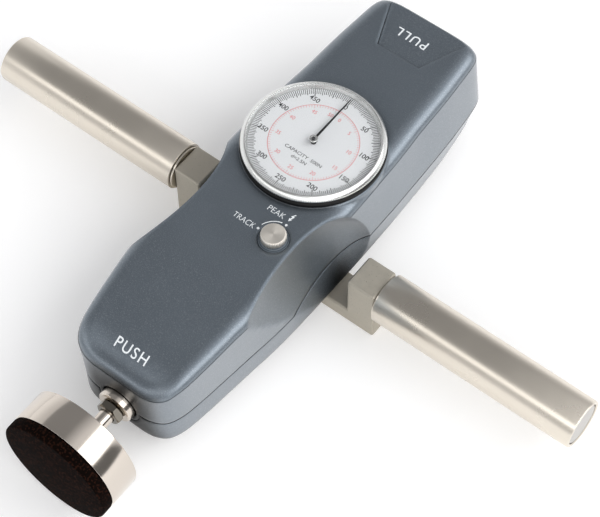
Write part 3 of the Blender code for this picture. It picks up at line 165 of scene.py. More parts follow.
# Handles, with rounds as above
HANDLE_HEIGHT = 20.9 * MM
HANDLE_REACH = 139.6 * MM
LEFT_TUBE_START = 50.3 * MM
RIGHT_TUBE_START = 49.9 * MM
TUBE_RADIUS = 10.2 * MM
TUBE_BORE = 8.7 * MM
TUBE_BORE_CHAMFER = 0.3 * MM
TUBE_START_ROUND = ((0.3, 0.0), (0.08, 0.1), (0.0, 0.3))
TUBE_END_ROUND = ((0.0, 0.6), (0.15, 0.15), (0.5, 0.0), (1.0, 0.0))
CAP_RADIUS = 8.4 * MM
CAP_LENGTH = 8.0 * MM
CAP_CHAMFER = 0.3 * MM
CAP_RECESS = 0.4 * MM

# Dial. A section is a table of (radius, height, depth of knurl) in millimetres, from the axis and the floor
DIAL_Y = 19.4 * MM
DIAL_TOP = 59.0 * MM
BEZEL_TOP = 61.6 * MM
BEZEL_TEETH = 200
BEZEL_TOOTH_STEPS = 6
BEZEL_KNURL = 0.2
BEZEL_SECTION = (
    (25.0, 59.12), (27.4, 59.3), (27.9, 59.42, BEZEL_KNURL), (28.0, 59.55, BEZEL_KNURL),
    (28.0, 59.95, BEZEL_KNURL), (27.9, 60.1, BEZEL_KNURL / 2), (27.75, 60.25), (27.6, 60.45), (27.3, 60.78),
    (26.95, 61.12), (26.6, 61.4), (26.3, 61.55), (26.1, 61.6), (25.95, 61.52), (25.9, 61.3), (25.88, 60.9),
    (25.75, 60.85),
)
CRYSTAL_RADIUS = 25.8 * MM
CRYSTAL_SEAT = 60.95 * MM
CRYSTAL_THICK = 0.6 * MM
CRYSTAL_DOME = 1.2 * MM
CRYSTAL_RINGS = 12
# The seat ring under the bezel; its near-black outer lip reaches out past the bezel as a painted shadow in
# the gap beneath it
GASKET_SECTION = (
    (19.6, 53.6), (21.7, 53.6), (21.7, 57.0), (27.9, 57.0), (28.3, 57.2), (28.35, 57.6), (28.3, 58.3),
    (27.9, 58.7), (27.3, 59.0), (26.4, 59.0), (26.4, 58.3), (19.6, 58.3),
)
PLATE_BORE = 1.0 * MM
PLATE_CHAMFER = 0.1 * MM
HUB_BORE = 0.95 * MM
HUB_RADIUS = 1.75 * MM
HUB_CROWN = 1.35 * MM
HUB_EDGE = 0.15 * MM
HUB_LIP = 0.1 * MM
BOSS_RADIUS = 28.7 * MM
BOSS_DEPTH = 8.0 * MM
BOSS_FACE = TOP_HEIGHT + 0.3 * MM
BOSS_EDGE = 0.5 * MM
SEAT_SPIGOT = 21.7 * MM
SEAT_DEPTH = 2.8 * MM

# Prints on the dial. Division lines are (every how many, length, half width), the longest first
INK = 0.02 * MM
INK_LIFT = 0.012 * MM
WORD_ROWS = 8
WORD_WELD = 1e-5
SCALE_RADIUS = 24.95 * MM
SCALE_DIVISIONS = 200
SCALE_LINES = (
    (20, 3.4 * MM, 0.16 * MM), (10, 3.1 * MM, 0.14 * MM), (4, 2.8 * MM, 0.12 * MM), (1, 2.3 * MM, 0.11 * MM),
)
NUMBERS = 10
NUMBER_RADIUS = 20.3 * MM
NUMBER_HEIGHT = 2.1 * MM
NUMBER_THIN = -0.01
NUMBER_STEP = 50
CAPTIONS = (
    ("CAPACITY  500N", 1.45 * MM, 17.0 * MM, (0.7 * MM, DIAL_Y - 7.3 * MM)),
    ("d=2.5N", 1.4 * MM, 6.8 * MM, (0.45 * MM, DIAL_Y - 9.8 * MM)),
)
RED_RING = (17.4 * MM, 17.6 * MM)
RED_RING_STEPS = 180
RED_RADIUS = 17.45 * MM
RED_DIVISIONS = 100
RED_LINES = ((10, 1.5 * MM, 0.07 * MM), (1, 1.0 * MM, 0.07 * MM))
RED_NUMBER_RADIUS = 14.2 * MM
RED_NUMBER_HEIGHT = 1.6 * MM
RED_NUMBER_STEP = 5
RED_ENDS = (("0", math.radians(7)), ("50", math.radians(-10)))

# Mode knob and the ring that it sits in, with sections as above
KNOB_PLACE = (13.7 * MM, -22.7 * MM)
KNOB_TEETH = 48
KNOB_TOOTH_STEPS = 8
KNOB_KNURL = 0.26
KNOB_STEM = 2.0 * MM
KNOB_SECTION = (
    (2.0, 57.2), (4.6, 57.2), (4.9, 57.35, KNOB_KNURL), (5.05, 57.6, KNOB_KNURL), (5.0, 59.5, KNOB_KNURL),
    (4.95, 59.7, KNOB_KNURL), (4.62, 60.08, KNOB_KNURL / 2), (4.45, 60.17), (4.2, 60.2), (2.2, 60.12),
    (0, 60.06),
)
COLLAR_FLANGE = 5.8 * MM
COLLAR_SPIGOT = 4.0 * MM
COLLAR_SEAT = 55.3 * MM
COLLAR_SECTION = (
    (2.3, 53.6), (4.0, 53.6), (4.0, 55.6), (5.9, 55.6), (5.9, 56.5), (5.82, 56.62), (5.68, 56.64),
    (5.58, 56.5), (5.54, 56.1), (5.28, 56.1), (5.22, 56.6), (5.1, 56.72), (4.9, 56.74), (2.3, 56.74),
)

# Prints on the cover. Words are (text, height, width, turn, place, how much thinner the strokes are, spacing)
COVER_WORDS = (
    ("PEAK", 2.4 * MM, 7.5 * MM, 0.0, (7.3 * MM, -12.6 * MM), 0.01, 1.0),
    ("TRACK", 2.4 * MM, 9.8 * MM, 0.0, (-0.2 * MM, -22.6 * MM), 0.01, 1.0),
    ("PUSH", 3.9 * MM, 14.4 * MM, 0.0, (-0.1 * MM, -88.0 * MM), -0.006, 1.2),
    ("PULL", 4.0 * MM, 14.4 * MM, math.pi, (-1.2 * MM, 84.4 * MM), -0.006, 1.2),
)
WORD_LIFT = 3 * INK_LIFT
DOT_PLACES = ((6.2 * MM, -22.4 * MM), (13.7 * MM, -15.1 * MM))
DOT_RADIUS = 0.55 * MM
DOT_STEPS = 20
ARC_RADII = (7.55 * MM, 7.95 * MM)
ARC_START = math.radians(103)
ARC_SWEEP = math.radians(59.4)
ARC_STEPS = 22
FLASH_PLACE = (13.45 * MM, -11.3 * MM)
FLASH_OUTLINE = (
    (0.35, 1.95), (-0.7, 0.3), (-0.05, 0.35), (-0.35, -0.65), (-0.8, -0.5), (-0.3, -1.95), (0.6, -0.85),
    (0.15, -0.8), (0.75, 0.85), (0.15, 0.75), (0.75, 1.85),
)

# Studio in metres: each lamp's name, place, aim, level size, upright size and radiance
FLOOR_HALF = 3.0
LAMPS = (
    ("right_box", (0.85, 0.35, 0.88), (0, 0.35, 0.03), 2.4, 0.78, 2.3),
    ("front_box", (0.1, -1.0, 0.72), (0.1, 0, 0.03), 3.0, 0.38, 1.3),
    ("left_wall", (-1.3, 0.35, 0.5), (0, 0.35, 0.5), 2.4, 0.92, 0.42),
)


def at_mm(table):
    """The rows of a table in millimetres, in metres."""
    return [tuple(value * MM for value in row) for row in table]


def rounding(table, radius, end, way):
    """Points that round an edge off, from a table of (inward from the radius, back from the end face)."""
    return [(radius - inward, end + way * back) for inward, back in at_mm(table)]


def linked(name, data):
    """A new object of the scene from its data."""
    made = bpy.data.objects.new(name, data)
    bpy.context.scene.collection.objects.link(made)
    return made


def linear(hex_colour):
    """An sRGB hex colour as linear red, green, blue and alpha."""
    parts = [int(hex_colour[start:start + 2], 16) / 255 for start in (1, 3, 5)]
    return tuple(v / 12.92 if v <= 0.04045 else ((v + 0.055) / 1.055) ** 2.4 for v in parts) + (1.0,)


def add(tree, kind, settings=None, **inputs):
    """Adds one node. An input is a value, or another node's output, by its name or as i and its number."""
    made = tree.nodes.new(f"ShaderNode{kind}")
    for name, value in (settings or {}).items():
        setattr(made, name, value)
    for name, value in inputs.items():
        numbered = name[0] == "i" and name[1:].isdigit()
        socket = made.inputs[int(name[1:]) if numbered else name.replace("_", " ")]
        if isinstance(value, bpy.types.NodeSocket):
            tree.links.new(value, socket)
        else:
            socket.default_value = value
    return made


def surface(name, dark, light, rough, metallic=0.0, mottle=14.0, grain=0.5, relief=0.004, stretch=(1, 1, 1),
            specks=None, rings=None, edge=0.0, spun=None, corner_shade=None, **sockets):
    """A material whose colour and gloss drift over the mottle size and whose relief follows a fine grain.

    Mottle, grain, relief and edge are in millimetres. Specks are (size, share, colour, roughness).
    Rings are (axis, centre, pitch), for marks left by turning. Edge rounds the light on corners.
    Spun names the axis round which turning marks spread the light into a fan.
    Corner shade is (reach, colour): painted shade that darkens the colour in corners, creases and gaps, found
    by ambient occlusion within the reach, and takes the clear coat away there.
    """
    made = bpy.data.materials.new(name)
    made.use_nodes = True
    tree = made.node_tree
    shader = tree.nodes["Principled BSDF"]
    place = add(tree, "TexCoord").outputs["Object"]
    broad = add(tree, "TexNoise", Vector=place, Scale=1 / (mottle * MM), Detail=5.0, Roughness=0.6)
    drawn = add(tree, "Mapping", Vector=place, Scale=stretch)
    fine = add(tree, "TexNoise", Vector=drawn.outputs["Vector"], Scale=1 / (grain * MM), Detail=3.0)
    blend = add(tree, "Mix", {"data_type": "RGBA"}, i0=broad.outputs["Fac"], i6=linear(dark),
                i7=linear(light))
    colour = blend.outputs[2]
    gloss = add(tree, "MapRange", Value=broad.outputs["Fac"], From_Min=0.3, From_Max=0.7, To_Min=rough[0],
                To_Max=rough[1])
    gloss = gloss.outputs["Result"]
    height = fine.outputs["Fac"]
    if specks:
        size, share, speck_colour, speck_rough = specks
        cells = add(tree, "TexNoise", Vector=place, Scale=1 / (size * MM), Detail=2.0)
        mask = add(tree, "MapRange", Value=cells.outputs["Fac"], From_Min=1 - share, From_Max=1.03 - share)
        mask = mask.outputs["Result"]
        mixed = add(tree, "Mix", {"data_type": "RGBA"}, i0=mask, i6=colour, i7=linear(speck_colour))
        colour = mixed.outputs[2]
        mixed = add(tree, "Mix", {"data_type": "FLOAT"}, i0=mask, i2=gloss, i3=speck_rough)
        gloss = mixed.outputs[0]
    # Painted shade: where ambient occlusion finds corners, creases and gaps, the colour turns to the shade
    # colour and the clear coat goes
    if corner_shade:
        reach, shade_colour = corner_shade
        corners = add(tree, "AmbientOcclusion", {"samples": 8}, Distance=reach * MM)
        unshaded = add(tree, "MapRange", Value=corners.outputs["AO"], From_Min=0.48, From_Max=0.8)
        unshaded = unshaded.outputs["Result"]
        mixed = add(tree, "Mix", {"data_type": "RGBA"}, i0=unshaded, i6=linear(shade_colour), i7=colour)
        colour = mixed.outputs[2]
        tree.links.new(unshaded, shader.inputs["Coat Weight"])
    if rings:
        axis, centre, pitch = rings
        moved = add(tree, "Mapping", Vector=place, Location=[-value for value in centre])
        wave = add(tree, "TexWave", {"wave_type": "RINGS", "rings_direction": axis},
                   Vector=moved.outputs["Vector"], Scale=math.tau / (20 * pitch * MM), Distortion=0.6,
                   Detail=2.0)
        height = add(tree, "Math", {"operation": "ADD"}, i0=height, i1=wave.outputs["Fac"]).outputs[0]
    bump = add(tree, "Bump", Height=height, Strength=1.0, Distance=relief * MM)
    if edge:
        rounded = add(tree, "Bevel", {"samples": 6}, Radius=edge * MM)
        tree.links.new(rounded.outputs["Normal"], bump.inputs["Normal"])
    tree.links.new(colour, shader.inputs["Base Color"])
    tree.links.new(gloss, shader.inputs["Roughness"])
    tree.links.new(bump.outputs["Normal"], shader.inputs["Normal"])
    if spun:
        around = add(tree, "Tangent", {"direction_type": "RADIAL", "axis": spun})
        tree.links.new(around.outputs["Tangent"], shader.inputs["Tangent"])
    shader.inputs["Metallic"].default_value = metallic
    for socket, value in sockets.items():
        shader.inputs[socket.replace("_", " ")].default_value = value
    return made


# Materials, each from what the real one is

# Satin metallic lacquer on an aluminium casting: blue-grey with flakes under a half-matt clear coat. The real
# flakes are under 0.1 mm and are drawn at 0.3 mm, so that they show
# Its corner shade paints near-black shade into the scoops, the seams and the pocket round the knob, and takes
# the clear coat away there
LACQUERED = surface("blue_grey_metallic_lacquer", "#6b757e", "#757f88", (0.33, 0.4), 0.75, mottle=30,
                    grain=0.9, relief=0.006, edge=2.2, specks=(0.3, 0.42, "#8b9299", 0.42),
                    corner_shade=(28, "#06090b"), Coat_Roughness=0.26, Coat_IOR=1.42)
# Bead-blasted steel: matt grey-beige with an even grain, drawn coarser than the real 0.2 mm, so that it shows
BLASTED = surface("bead_blasted_steel", "#b3ada1", "#cbc5b8", (0.55, 0.7), 0.85, mottle=1.6, grain=0.45,
                  relief=0.05, edge=0.6, specks=(0.5, 0.3, "#8f897d", 0.7))
# Satin nickel plate on drawn tube: warm grey mirror broken by fine lines along the tube
NICKEL = surface("satin_nickel_plate", "#e0d8cb", "#e6ded1", (0.26, 0.33), 1.0, mottle=25, grain=0.25,
                 relief=0.0012, stretch=(0.03, 1, 1))
# Moulded pale grey polyamide: soft sheen and a faint moulded grain
POLYAMIDE = surface("pale_polyamide", "#b2afab", "#c0bdb9", (0.45, 0.55), mottle=5, grain=0.4, relief=0.006)
# Satin chromium plate on turned brass: pale cold metal with fine turning lines
CHROME = surface("satin_chromium_plate", "#dcdddb", "#e8e9e7", (0.2, 0.28), 1.0, mottle=9, grain=0.3,
                 relief=0.0008, edge=0.15)
# Polished stainless steel: bright mirror, slightly warm, with turning lines drawn coarser than the real ones
STAINLESS = surface("polished_stainless_steel", "#d2c9be", "#d9d0c6", (0.1, 0.17), 1.0, mottle=16, grain=0.3,
                    relief=0.0008, rings=("Y", (0, 0, SHAFT_HEIGHT), 0.5), edge=0.2)
# Turned satin aluminium: pale beige-grey with rings that catch the light as a fan, drawn coarser than real
ALUMINIUM = surface("turned_satin_aluminium", "#e2dcd2", "#ece7de", (0.36, 0.44), 0.8, mottle=6, grain=0.3,
                    relief=0.002, rings=("Z", (*KNOB_PLACE, 0), 0.35), edge=0.12, spun="Z", Anisotropic=0.75)
# Moulded black ABS: near black, half gloss; on the gasket's outer lip it is a painted shadow for the gap
# under the bezel
ABS = surface("black_abs", "#050505", "#0b0b0c", (0.45, 0.6), mottle=8, grain=0.5, relief=0.004,
              Specular_IOR_Level=0.25)
# Moulded grey ABS of the ring under the knob: half gloss, so that its lips catch light
GREY_ABS = surface("grey_abs", "#5a636b", "#667079", (0.2, 0.3), mottle=6, grain=0.4, relief=0.003)
# White enamel on the aluminium scale plate: clean, half matt, with a faint dust of grain
DIAL_WHITE = surface("white_dial_enamel", "#e6e8ea", "#eef0f1", (0.42, 0.5), mottle=20, grain=0.3,
                     relief=0.001)
# Black screen-printed ink: solid, slightly raised, half matt
BLACK_INK = surface("black_screen_ink", "#0c0d0e", "#17191a", (0.5, 0.6), mottle=2, grain=0.2, relief=0.001)
# Pale red screen-printed ink, as solid and half matt
RED_INK = surface("red_screen_ink", "#e0797c", "#e88d8e", (0.5, 0.6), mottle=2, grain=0.2, relief=0.001)
# White screen-printed ink on the lacquer, a little glossier
WHITE_INK = surface("white_screen_ink", "#e9eff2", "#f4f8fa", (0.45, 0.55), mottle=2, grain=0.2, relief=0.001)
# Black lacquer on the steel pointer: thin, half gloss
LACQUER = surface("black_lacquer", "#0b0b0c", "#161617", (0.3, 0.4), mottle=3, grain=0.3, relief=0.001)
# Cork rubber: brown-black crumb with lighter cork grains, dull and rough
CORK_RUBBER = surface("cork_rubber", "#040201", "#0f0705", (0.85, 0.97), mottle=1.2, grain=0.9, relief=0.12,
                      specks=(0.9, 0.45, "#24130d", 0.95), Specular_IOR_Level=0.04)
# Zinc-plated steel: cool dull grey with a faint blue cast
ZINC = surface("zinc_plated_steel", "#8e9498", "#a4a9ac", (0.3, 0.42), 1.0, mottle=3, grain=0.3, relief=0.002)
# Polished steel of the lock nut, its colour darkened as painted shade for the shaded housing wall that it
# mirrors: dark mirror
DARK_STEEL = surface("polished_dark_steel", "#7c776e", "#8a857c", (0.06, 0.12), 1.0, mottle=5, grain=0.3,
                     relief=0.0008, edge=0.2)
# Ground tool steel: dark grey with fine lines along the shaft
TOOL_STEEL = surface("ground_tool_steel", "#6d6e70", "#838486", (0.24, 0.34), 1.0, mottle=4, grain=0.2,
                     relief=0.001, stretch=(1, 0.05, 1))
# Cast and turned brass: yellow, half bright
BRASS = surface("turned_brass", "#b8924a", "#cda95f", (0.24, 0.34), 1.0, mottle=4, grain=0.3, relief=0.001)
# Back-lit white acrylic table: even white that lifts the shadows and lights undersides
PAPER = surface("lit_white_table", "#f3f3f3", "#f7f7f7", (0.85, 0.95), mottle=120, grain=2, relief=0.01,
                Emission_Color=(1, 1, 1, 1), Emission_Strength=0.2)


def crystal_sheet():
    """Clear acrylic: seen only by its reflections, which grow towards grazing light."""
    made = bpy.data.materials.new("clear_acrylic")
    made.use_nodes = True
    tree = made.node_tree
    shader = tree.nodes["Principled BSDF"]
    place = add(tree, "TexCoord").outputs["Object"]
    smears = add(tree, "TexNoise", Vector=place, Scale=1 / (9 * MM), Detail=4.0)
    gloss = add(tree, "MapRange", Value=smears.outputs["Fac"], From_Min=0.3, From_Max=0.7, To_Min=0.04,
                To_Max=0.12)
    facing = add(tree, "LayerWeight", Blend=0.5)
    steep = add(tree, "Math", {"operation": "POWER"}, i0=facing.outputs["Facing"], i1=5.0)
    mirror = add(tree, "MapRange", Value=steep.outputs["Value"], To_Min=0.035, To_Max=1.0)
    tree.links.new(gloss.outputs["Result"], shader.inputs["Roughness"])
    tree.links.new(mirror.outputs["Result"], shader.inputs["Alpha"])
    shader.inputs["Base Color"].default_value = linear("#f4f8fa")
    shader.inputs["Metallic"].default_value = 1.0
    return made


ACRYLIC = crystal_sheet()


def solid(name, points, faces):
    """An object from points and faces, faces turned outward."""
    bm = bmesh.new()
    verts = [bm.verts.new(point) for point in points]
    for face in faces:
        bm.faces.new([verts[index] for index in face])
    bmesh.ops.recalc_face_normals(bm, faces=bm.faces)
    mesh = bpy.data.meshes.new(name)
    bm.to_mesh(mesh)
    bm.free()
    return linked(name, mesh)


def on_axis(axis, across, up, along, centre):
    """A point from distances across, up and along the named axis."""
    x, y, z = centre
    if axis == "X":
        return (x + along, y + across, z + up)
    if axis == "Y":
        return (x + across, y + along, z + up)
    return (x + across, y + up, z + along)


def turned(name, profile, centre, axis="Z", steps=PLAIN_STEPS, teeth=0):
    """A turned solid from a closed profile of (radius, distance along the axis, depth of knurl)."""
    points = []
    rings = []
    for radius, along, *cut_depth in profile:
        count = steps if radius > 0 else 1
        rings.append([len(points) + step for step in range(count)])
        for step in range(count):
            angle = math.tau * step / steps
            reach = radius
            if cut_depth and teeth:
                reach -= cut_depth[0] * (0.5 - 0.5 * math.cos(angle * teeth))
            points.append(on_axis(axis, reach * math.cos(angle), reach * math.sin(angle), along, centre))
    faces = []
    for ring, following in zip(rings, rings[1:] + rings[:1]):
        if len(ring) == 1 and len(following) == 1:
            continue
        for step in range(steps):
            after = (step + 1) % steps
            corners = [ring[step % len(ring)], ring[after % len(ring)]]
            corners += [following[after % len(following)], following[step % len(following)]]
            faces.append(list(dict.fromkeys(corners)))
    return solid(name, points, faces)


def cylinder(name, radius, low, high, centre=(0, 0, 0), axis="Z", steps=PLAIN_STEPS):
    return turned(name, ((0, low), (radius, low), (radius, high), (0, high)), centre, axis, steps)


def extruded(name, outline, low, high):
    """An outline of (x, y) points drawn up from the low to the high level."""
    count = len(outline)
    points = [(x, y, z) for z in (low, high) for x, y in outline]
    faces = [list(range(count)), list(range(count, 2 * count))]
    for index in range(count):
        after = (index + 1) % count
        faces.append([index, after, count + after, count + index])
    return solid(name, points, faces)


def block(name, low, high):
    outline = ((low[0], low[1]), (high[0], low[1]), (high[0], high[1]), (low[0], high[1]))
    return extruded(name, outline, low[2], high[2])


def combine(base, tools, operation):
    """Joins the tools to the base or cuts them all away in one step, and removes them."""
    whole = bmesh.new()
    for tool in tools:
        bpy.context.view_layer.update()
        tool.data.transform(tool.matrix_world)
        whole.from_mesh(tool.data)
        bpy.data.objects.remove(tool)
    mesh = bpy.data.meshes.new("tools")
    whole.to_mesh(mesh)
    whole.free()
    together = linked("tools", mesh)
    step = base.modifiers.new("combine", "BOOLEAN")
    step.operation = operation
    step.solver = "EXACT"
    step.use_self = len(tools) > 1
    step.object = together
    graph = bpy.context.evaluated_depsgraph_get()
    result = bpy.data.meshes.new_from_object(base.evaluated_get(graph))
    base.modifiers.clear()
    base.data = result
    bpy.data.objects.remove(together)
    return base


def cut(base, *tools):
    return combine(base, tools, "DIFFERENCE")


def join(base, *tools):
    return combine(base, tools, "UNION")


def without_slivers(mesh):
    """Merges points that cuts left on top of each other and dissolves the faces without area between them."""
    bm = bmesh.new()
    bm.from_mesh(mesh)
    bmesh.ops.remove_doubles(bm, verts=bm.verts, dist=SLIVER)
    bmesh.ops.dissolve_degenerate(bm, edges=bm.edges, dist=SLIVER)
    bmesh.ops.triangulate(bm, faces=[face for face in bm.faces if len(face.verts) > 4])
    bmesh.ops.dissolve_degenerate(bm, edges=bm.edges, dist=SLIVER)
    bm.to_mesh(mesh)
    bm.free()


def install(piece, name, material, body, slot, *replaced):
    """Names and finishes a piece, seats it on its body and hides the CAD nodes it stands for."""
    without_slivers(piece.data)
    piece.name = name
    piece.data.name = name
    piece.data.materials.clear()
    piece.data.materials.append(material)
    piece.data.shade_smooth()
    piece.data.set_sharp_from_angle(angle=SHARP_ANGLE)
    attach(piece, body)
    if replaced:
        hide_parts(*replaced)
    return piece


def eased(table, share):
    """The value at this share along a table of (share, value) pairs, without kinks or overshoot."""
    slopes = [(v1 - v0) / (s1 - s0) for (s0, v0), (s1, v1) in zip(table, table[1:])]
    inner = [2 * a * b / (a + b) if a * b > 0 else 0.0 for a, b in zip(slopes, slopes[1:])]
    tangents = [slopes[0]] + inner + [slopes[-1]]
    for index, ((s0, v0), (s1, v1)) in enumerate(zip(table, table[1:])):
        if share <= s1:
            span = s1 - s0
            t = (share - s0) / span
            start = v0 * (1 + 2 * t) * (1 - t) ** 2 + tangents[index] * span * t * (1 - t) ** 2
            return start + v1 * t * t * (3 - 2 * t) + tangents[index + 1] * span * t * t * (t - 1)
    return table[-1][1]


def fine_plan():
    """The plan outline of one side as many (along, across) shares."""
    lengths = [0.0]
    for (a0, c0), (a1, c1) in zip(PLAN_SHARES, PLAN_SHARES[1:]):
        step = math.hypot((a1 - a0) * CASE_LENGTH, (c1 - c0) * CASE_HALF_WIDTH)
        lengths.append(lengths[-1] + step)
    along_table = [(length, along) for length, (along, across) in zip(lengths, PLAN_SHARES)]
    across_table = [(length, across) for length, (along, across) in zip(lengths, PLAN_SHARES)]
    plan = []
    for low, high in zip(lengths, lengths[1:]):
        count = max(2, math.ceil((high - low) / OUTLINE_STEP))
        for step in range(count):
            length = low + (high - low) * step / count
            plan.append((eased(along_table, length), eased(across_table, length)))
    return plan + [PLAN_SHARES[-1]]


def upper_lean(along):
    return UPPER_LEAN * eased(UPPER_LEAN_SHARES, along)


def lower_lean(along):
    return LOWER_LEAN * eased(LOWER_LEAN_SHARES, along)


def case_ring(plan, inset_x, inset_y, height_at, lean_at):
    """One level of the housing: its right side from push to pull end, then its left side back."""
    right = []
    for along, across in plan:
        lean = lean_at(along)
        x = across * (CASE_HALF_WIDTH - inset_x - lean)
        y = CASE_MIDDLE_Y + (along - 0.5) * (CASE_LENGTH - 2 * (inset_y + max(lean, 0)))
        right.append((x, y, height_at(along)))
    return right + [(-x, y, z) for x, y, z in reversed(right)]


def case_body(name, plan, skin, levels, round_steps):
    """The housing's solid form, drawn in by the skin thickness on every side."""
    angles = [math.pi / 2 * step / round_steps for step in range(round_steps + 1)]
    bottom_round = BOTTOM_ROUND - skin
    rings = []
    for angle in angles:
        inset = skin + bottom_round * (1 - math.sin(angle))
        height = CASE_BOTTOM + skin + bottom_round * (1 - math.cos(angle))
        rings.append(case_ring(plan, inset, inset, lambda along, z=height: z, lower_lean))
    rise = TOP_HEIGHT - CREASE_HEIGHT
    drops = [eased(NOSE_DROP_SHARES, along) for along, across in plan]
    nose = dict(zip([along for along, across in plan], drops))

    def below_top(along, drop):
        return TOP_HEIGHT - skin - drop - NOSE_DROP * nose[along]

    parting = case_ring(plan, skin, skin, lambda along: PARTING_HEIGHT, lambda along: 0)
    crease = case_ring(plan, skin, skin, lambda along: below_top(along, rise), upper_lean)
    for level in range(levels + 1):
        share = level / levels
        rings.append([Vector(low).lerp(Vector(high), share)[:] for low, high in zip(parting, crease)])
    step = skin + CREASE_STEP
    for angle in angles:
        inward = 1 - math.cos(angle)
        drop = rise * (1 - math.sin(angle))
        rings.append(case_ring(plan, step + SHOULDER_WIDTH * inward, step + SHOULDER_REACH * inward,
                               lambda along, drop=drop: below_top(along, drop), upper_lean))
    points = [point for ring in rings for point in ring]
    around = len(rings[0])
    faces = []
    for level in range(len(rings) - 1):
        low = level * around
        for index in range(around):
            after = (index + 1) % around
            faces.append([low + index, low + after, low + around + after, low + around + index])
    for low in (0, (len(rings) - 1) * around):
        for row in range(len(plan) - 1):
            mirrored = around - 1 - row
            faces.append([low + row, low + row + 1, low + mirrored - 1, low + mirrored])
    return solid(name, points, faces)


def scoop(side, skin, sides):
    """One finger scoop as a cutter, grown by the skin thickness."""
    bm = bmesh.new()
    bmesh.ops.create_uvsphere(bm, u_segments=sides, v_segments=sides // 2, radius=1)
    sizes = [size + skin for size in SCOOP_SIZES]
    bmesh.ops.transform(bm, matrix=Matrix.Diagonal((*sizes, 1)), verts=bm.verts)
    mesh = bpy.data.meshes.new("scoop")
    bm.to_mesh(mesh)
    bm.free()
    made = linked("scoop", mesh)
    made.location = (side * SCOOP_CENTRE.x, SCOOP_CENTRE.y, SCOOP_CENTRE.z)
    made.rotation_euler = (SCOOP_ANGLES[0], side * SCOOP_ANGLES[1], side * SCOOP_ANGLES[2])
    return made


def case_screw_places():
    for side in (-1, 1):
        yield side * FRONT_SCREW_X, FRONT_SCREW_Y
        yield side * REAR_SCREW_X, REAR_SCREW_Y


def ports(radius, low, high):
    """A disc round the shaft at each end wall, from the low to the high distance outside its face."""
    centre = (0, 0, SHAFT_HEIGHT)
    front = cylinder("front", radius, FRONT_FACE_Y - high, FRONT_FACE_Y - low, centre, "Y")
    rear = cylinder("rear", radius, REAR_FACE_Y + low, REAR_FACE_Y + high, centre, "Y")
    return [front, rear]


def upper_openings():
    """Cutters for the panel at the pull end, the dial's hole and the knob's well."""
    panel = ((-PANEL_NEAR_HALF, PANEL_START), (PANEL_NEAR_HALF, PANEL_START),
             (PANEL_FAR_HALF, REAR_FACE_Y + OVERRUN), (-PANEL_FAR_HALF, REAR_FACE_Y + OVERRUN))
    openings = [extruded("panel", panel, TOP_HEIGHT - PANEL_DEPTH, TOP_HEIGHT + OVERRUN)]
    above = TOP_HEIGHT + OVERRUN
    openings.append(cylinder("dial_hole", SEAT_SPIGOT + GAP, TOP_HEIGHT - SEAT_DEPTH - 2 * GAP, above,
                             (0, DIAL_Y, 0), steps=FINE_STEPS))
    below = TOP_HEIGHT - CASE_WALL - OVERRUN
    well = ((0, below), (COLLAR_SPIGOT + GAP, below), (COLLAR_SPIGOT + GAP, COLLAR_SEAT),
            (COLLAR_FLANGE + GAP, COLLAR_SEAT), (COLLAR_FLANGE + GAP, above), (0, above))
    openings.append(turned("well", well, (*KNOB_PLACE, 0)))
    return openings


def lower_openings():
    """Cutters for the screw holes in the floor."""
    openings = []
    wide = CASE_SCREW_HEAD + GAP
    narrow = CASE_SCREW_RADIUS + GAP
    sink = ((0, 0), (wide, 0), (wide, CASE_SCREW_HEAD_TOP), (narrow, CASE_SCREW_HEAD_TOP),
            (narrow, CASE_SCREW_HOLE_TOP), (0, CASE_SCREW_HOLE_TOP))
    for x, y in case_screw_places():
        openings.append(turned("sink", sink, (x, y, 0), steps=SMALL_STEPS))
    deep = CHASSIS_SCREW_HEAD - CHASSIS_SCREW_RADIUS + CASE_BOTTOM + GAP
    for y in (-CHASSIS_SCREW_Y, CHASSIS_SCREW_Y):
        cone = ((0, CASE_BOTTOM - OVERRUN), (CHASSIS_SCREW_HEAD + OVERRUN, CASE_BOTTOM - OVERRUN),
                (CHASSIS_SCREW_RADIUS + GAP, deep), (CHASSIS_SCREW_RADIUS + GAP, CASE_BOTTOM + BOTTOM_ROUND),
                (0, CASE_BOTTOM + BOTTOM_ROUND))
        openings.append(turned("hole", cone, (0, y, 0), steps=SMALL_STEPS))
    for side in (-1, 1):
        openings.append(cylinder("hole", BRACKET_SCREW_RADIUS + GAP, 0, CASE_BOTTOM + BOTTOM_ROUND,
                                 (side * BRACKET_SCREW_X, 0, 0), steps=SMALL_STEPS))
    return openings


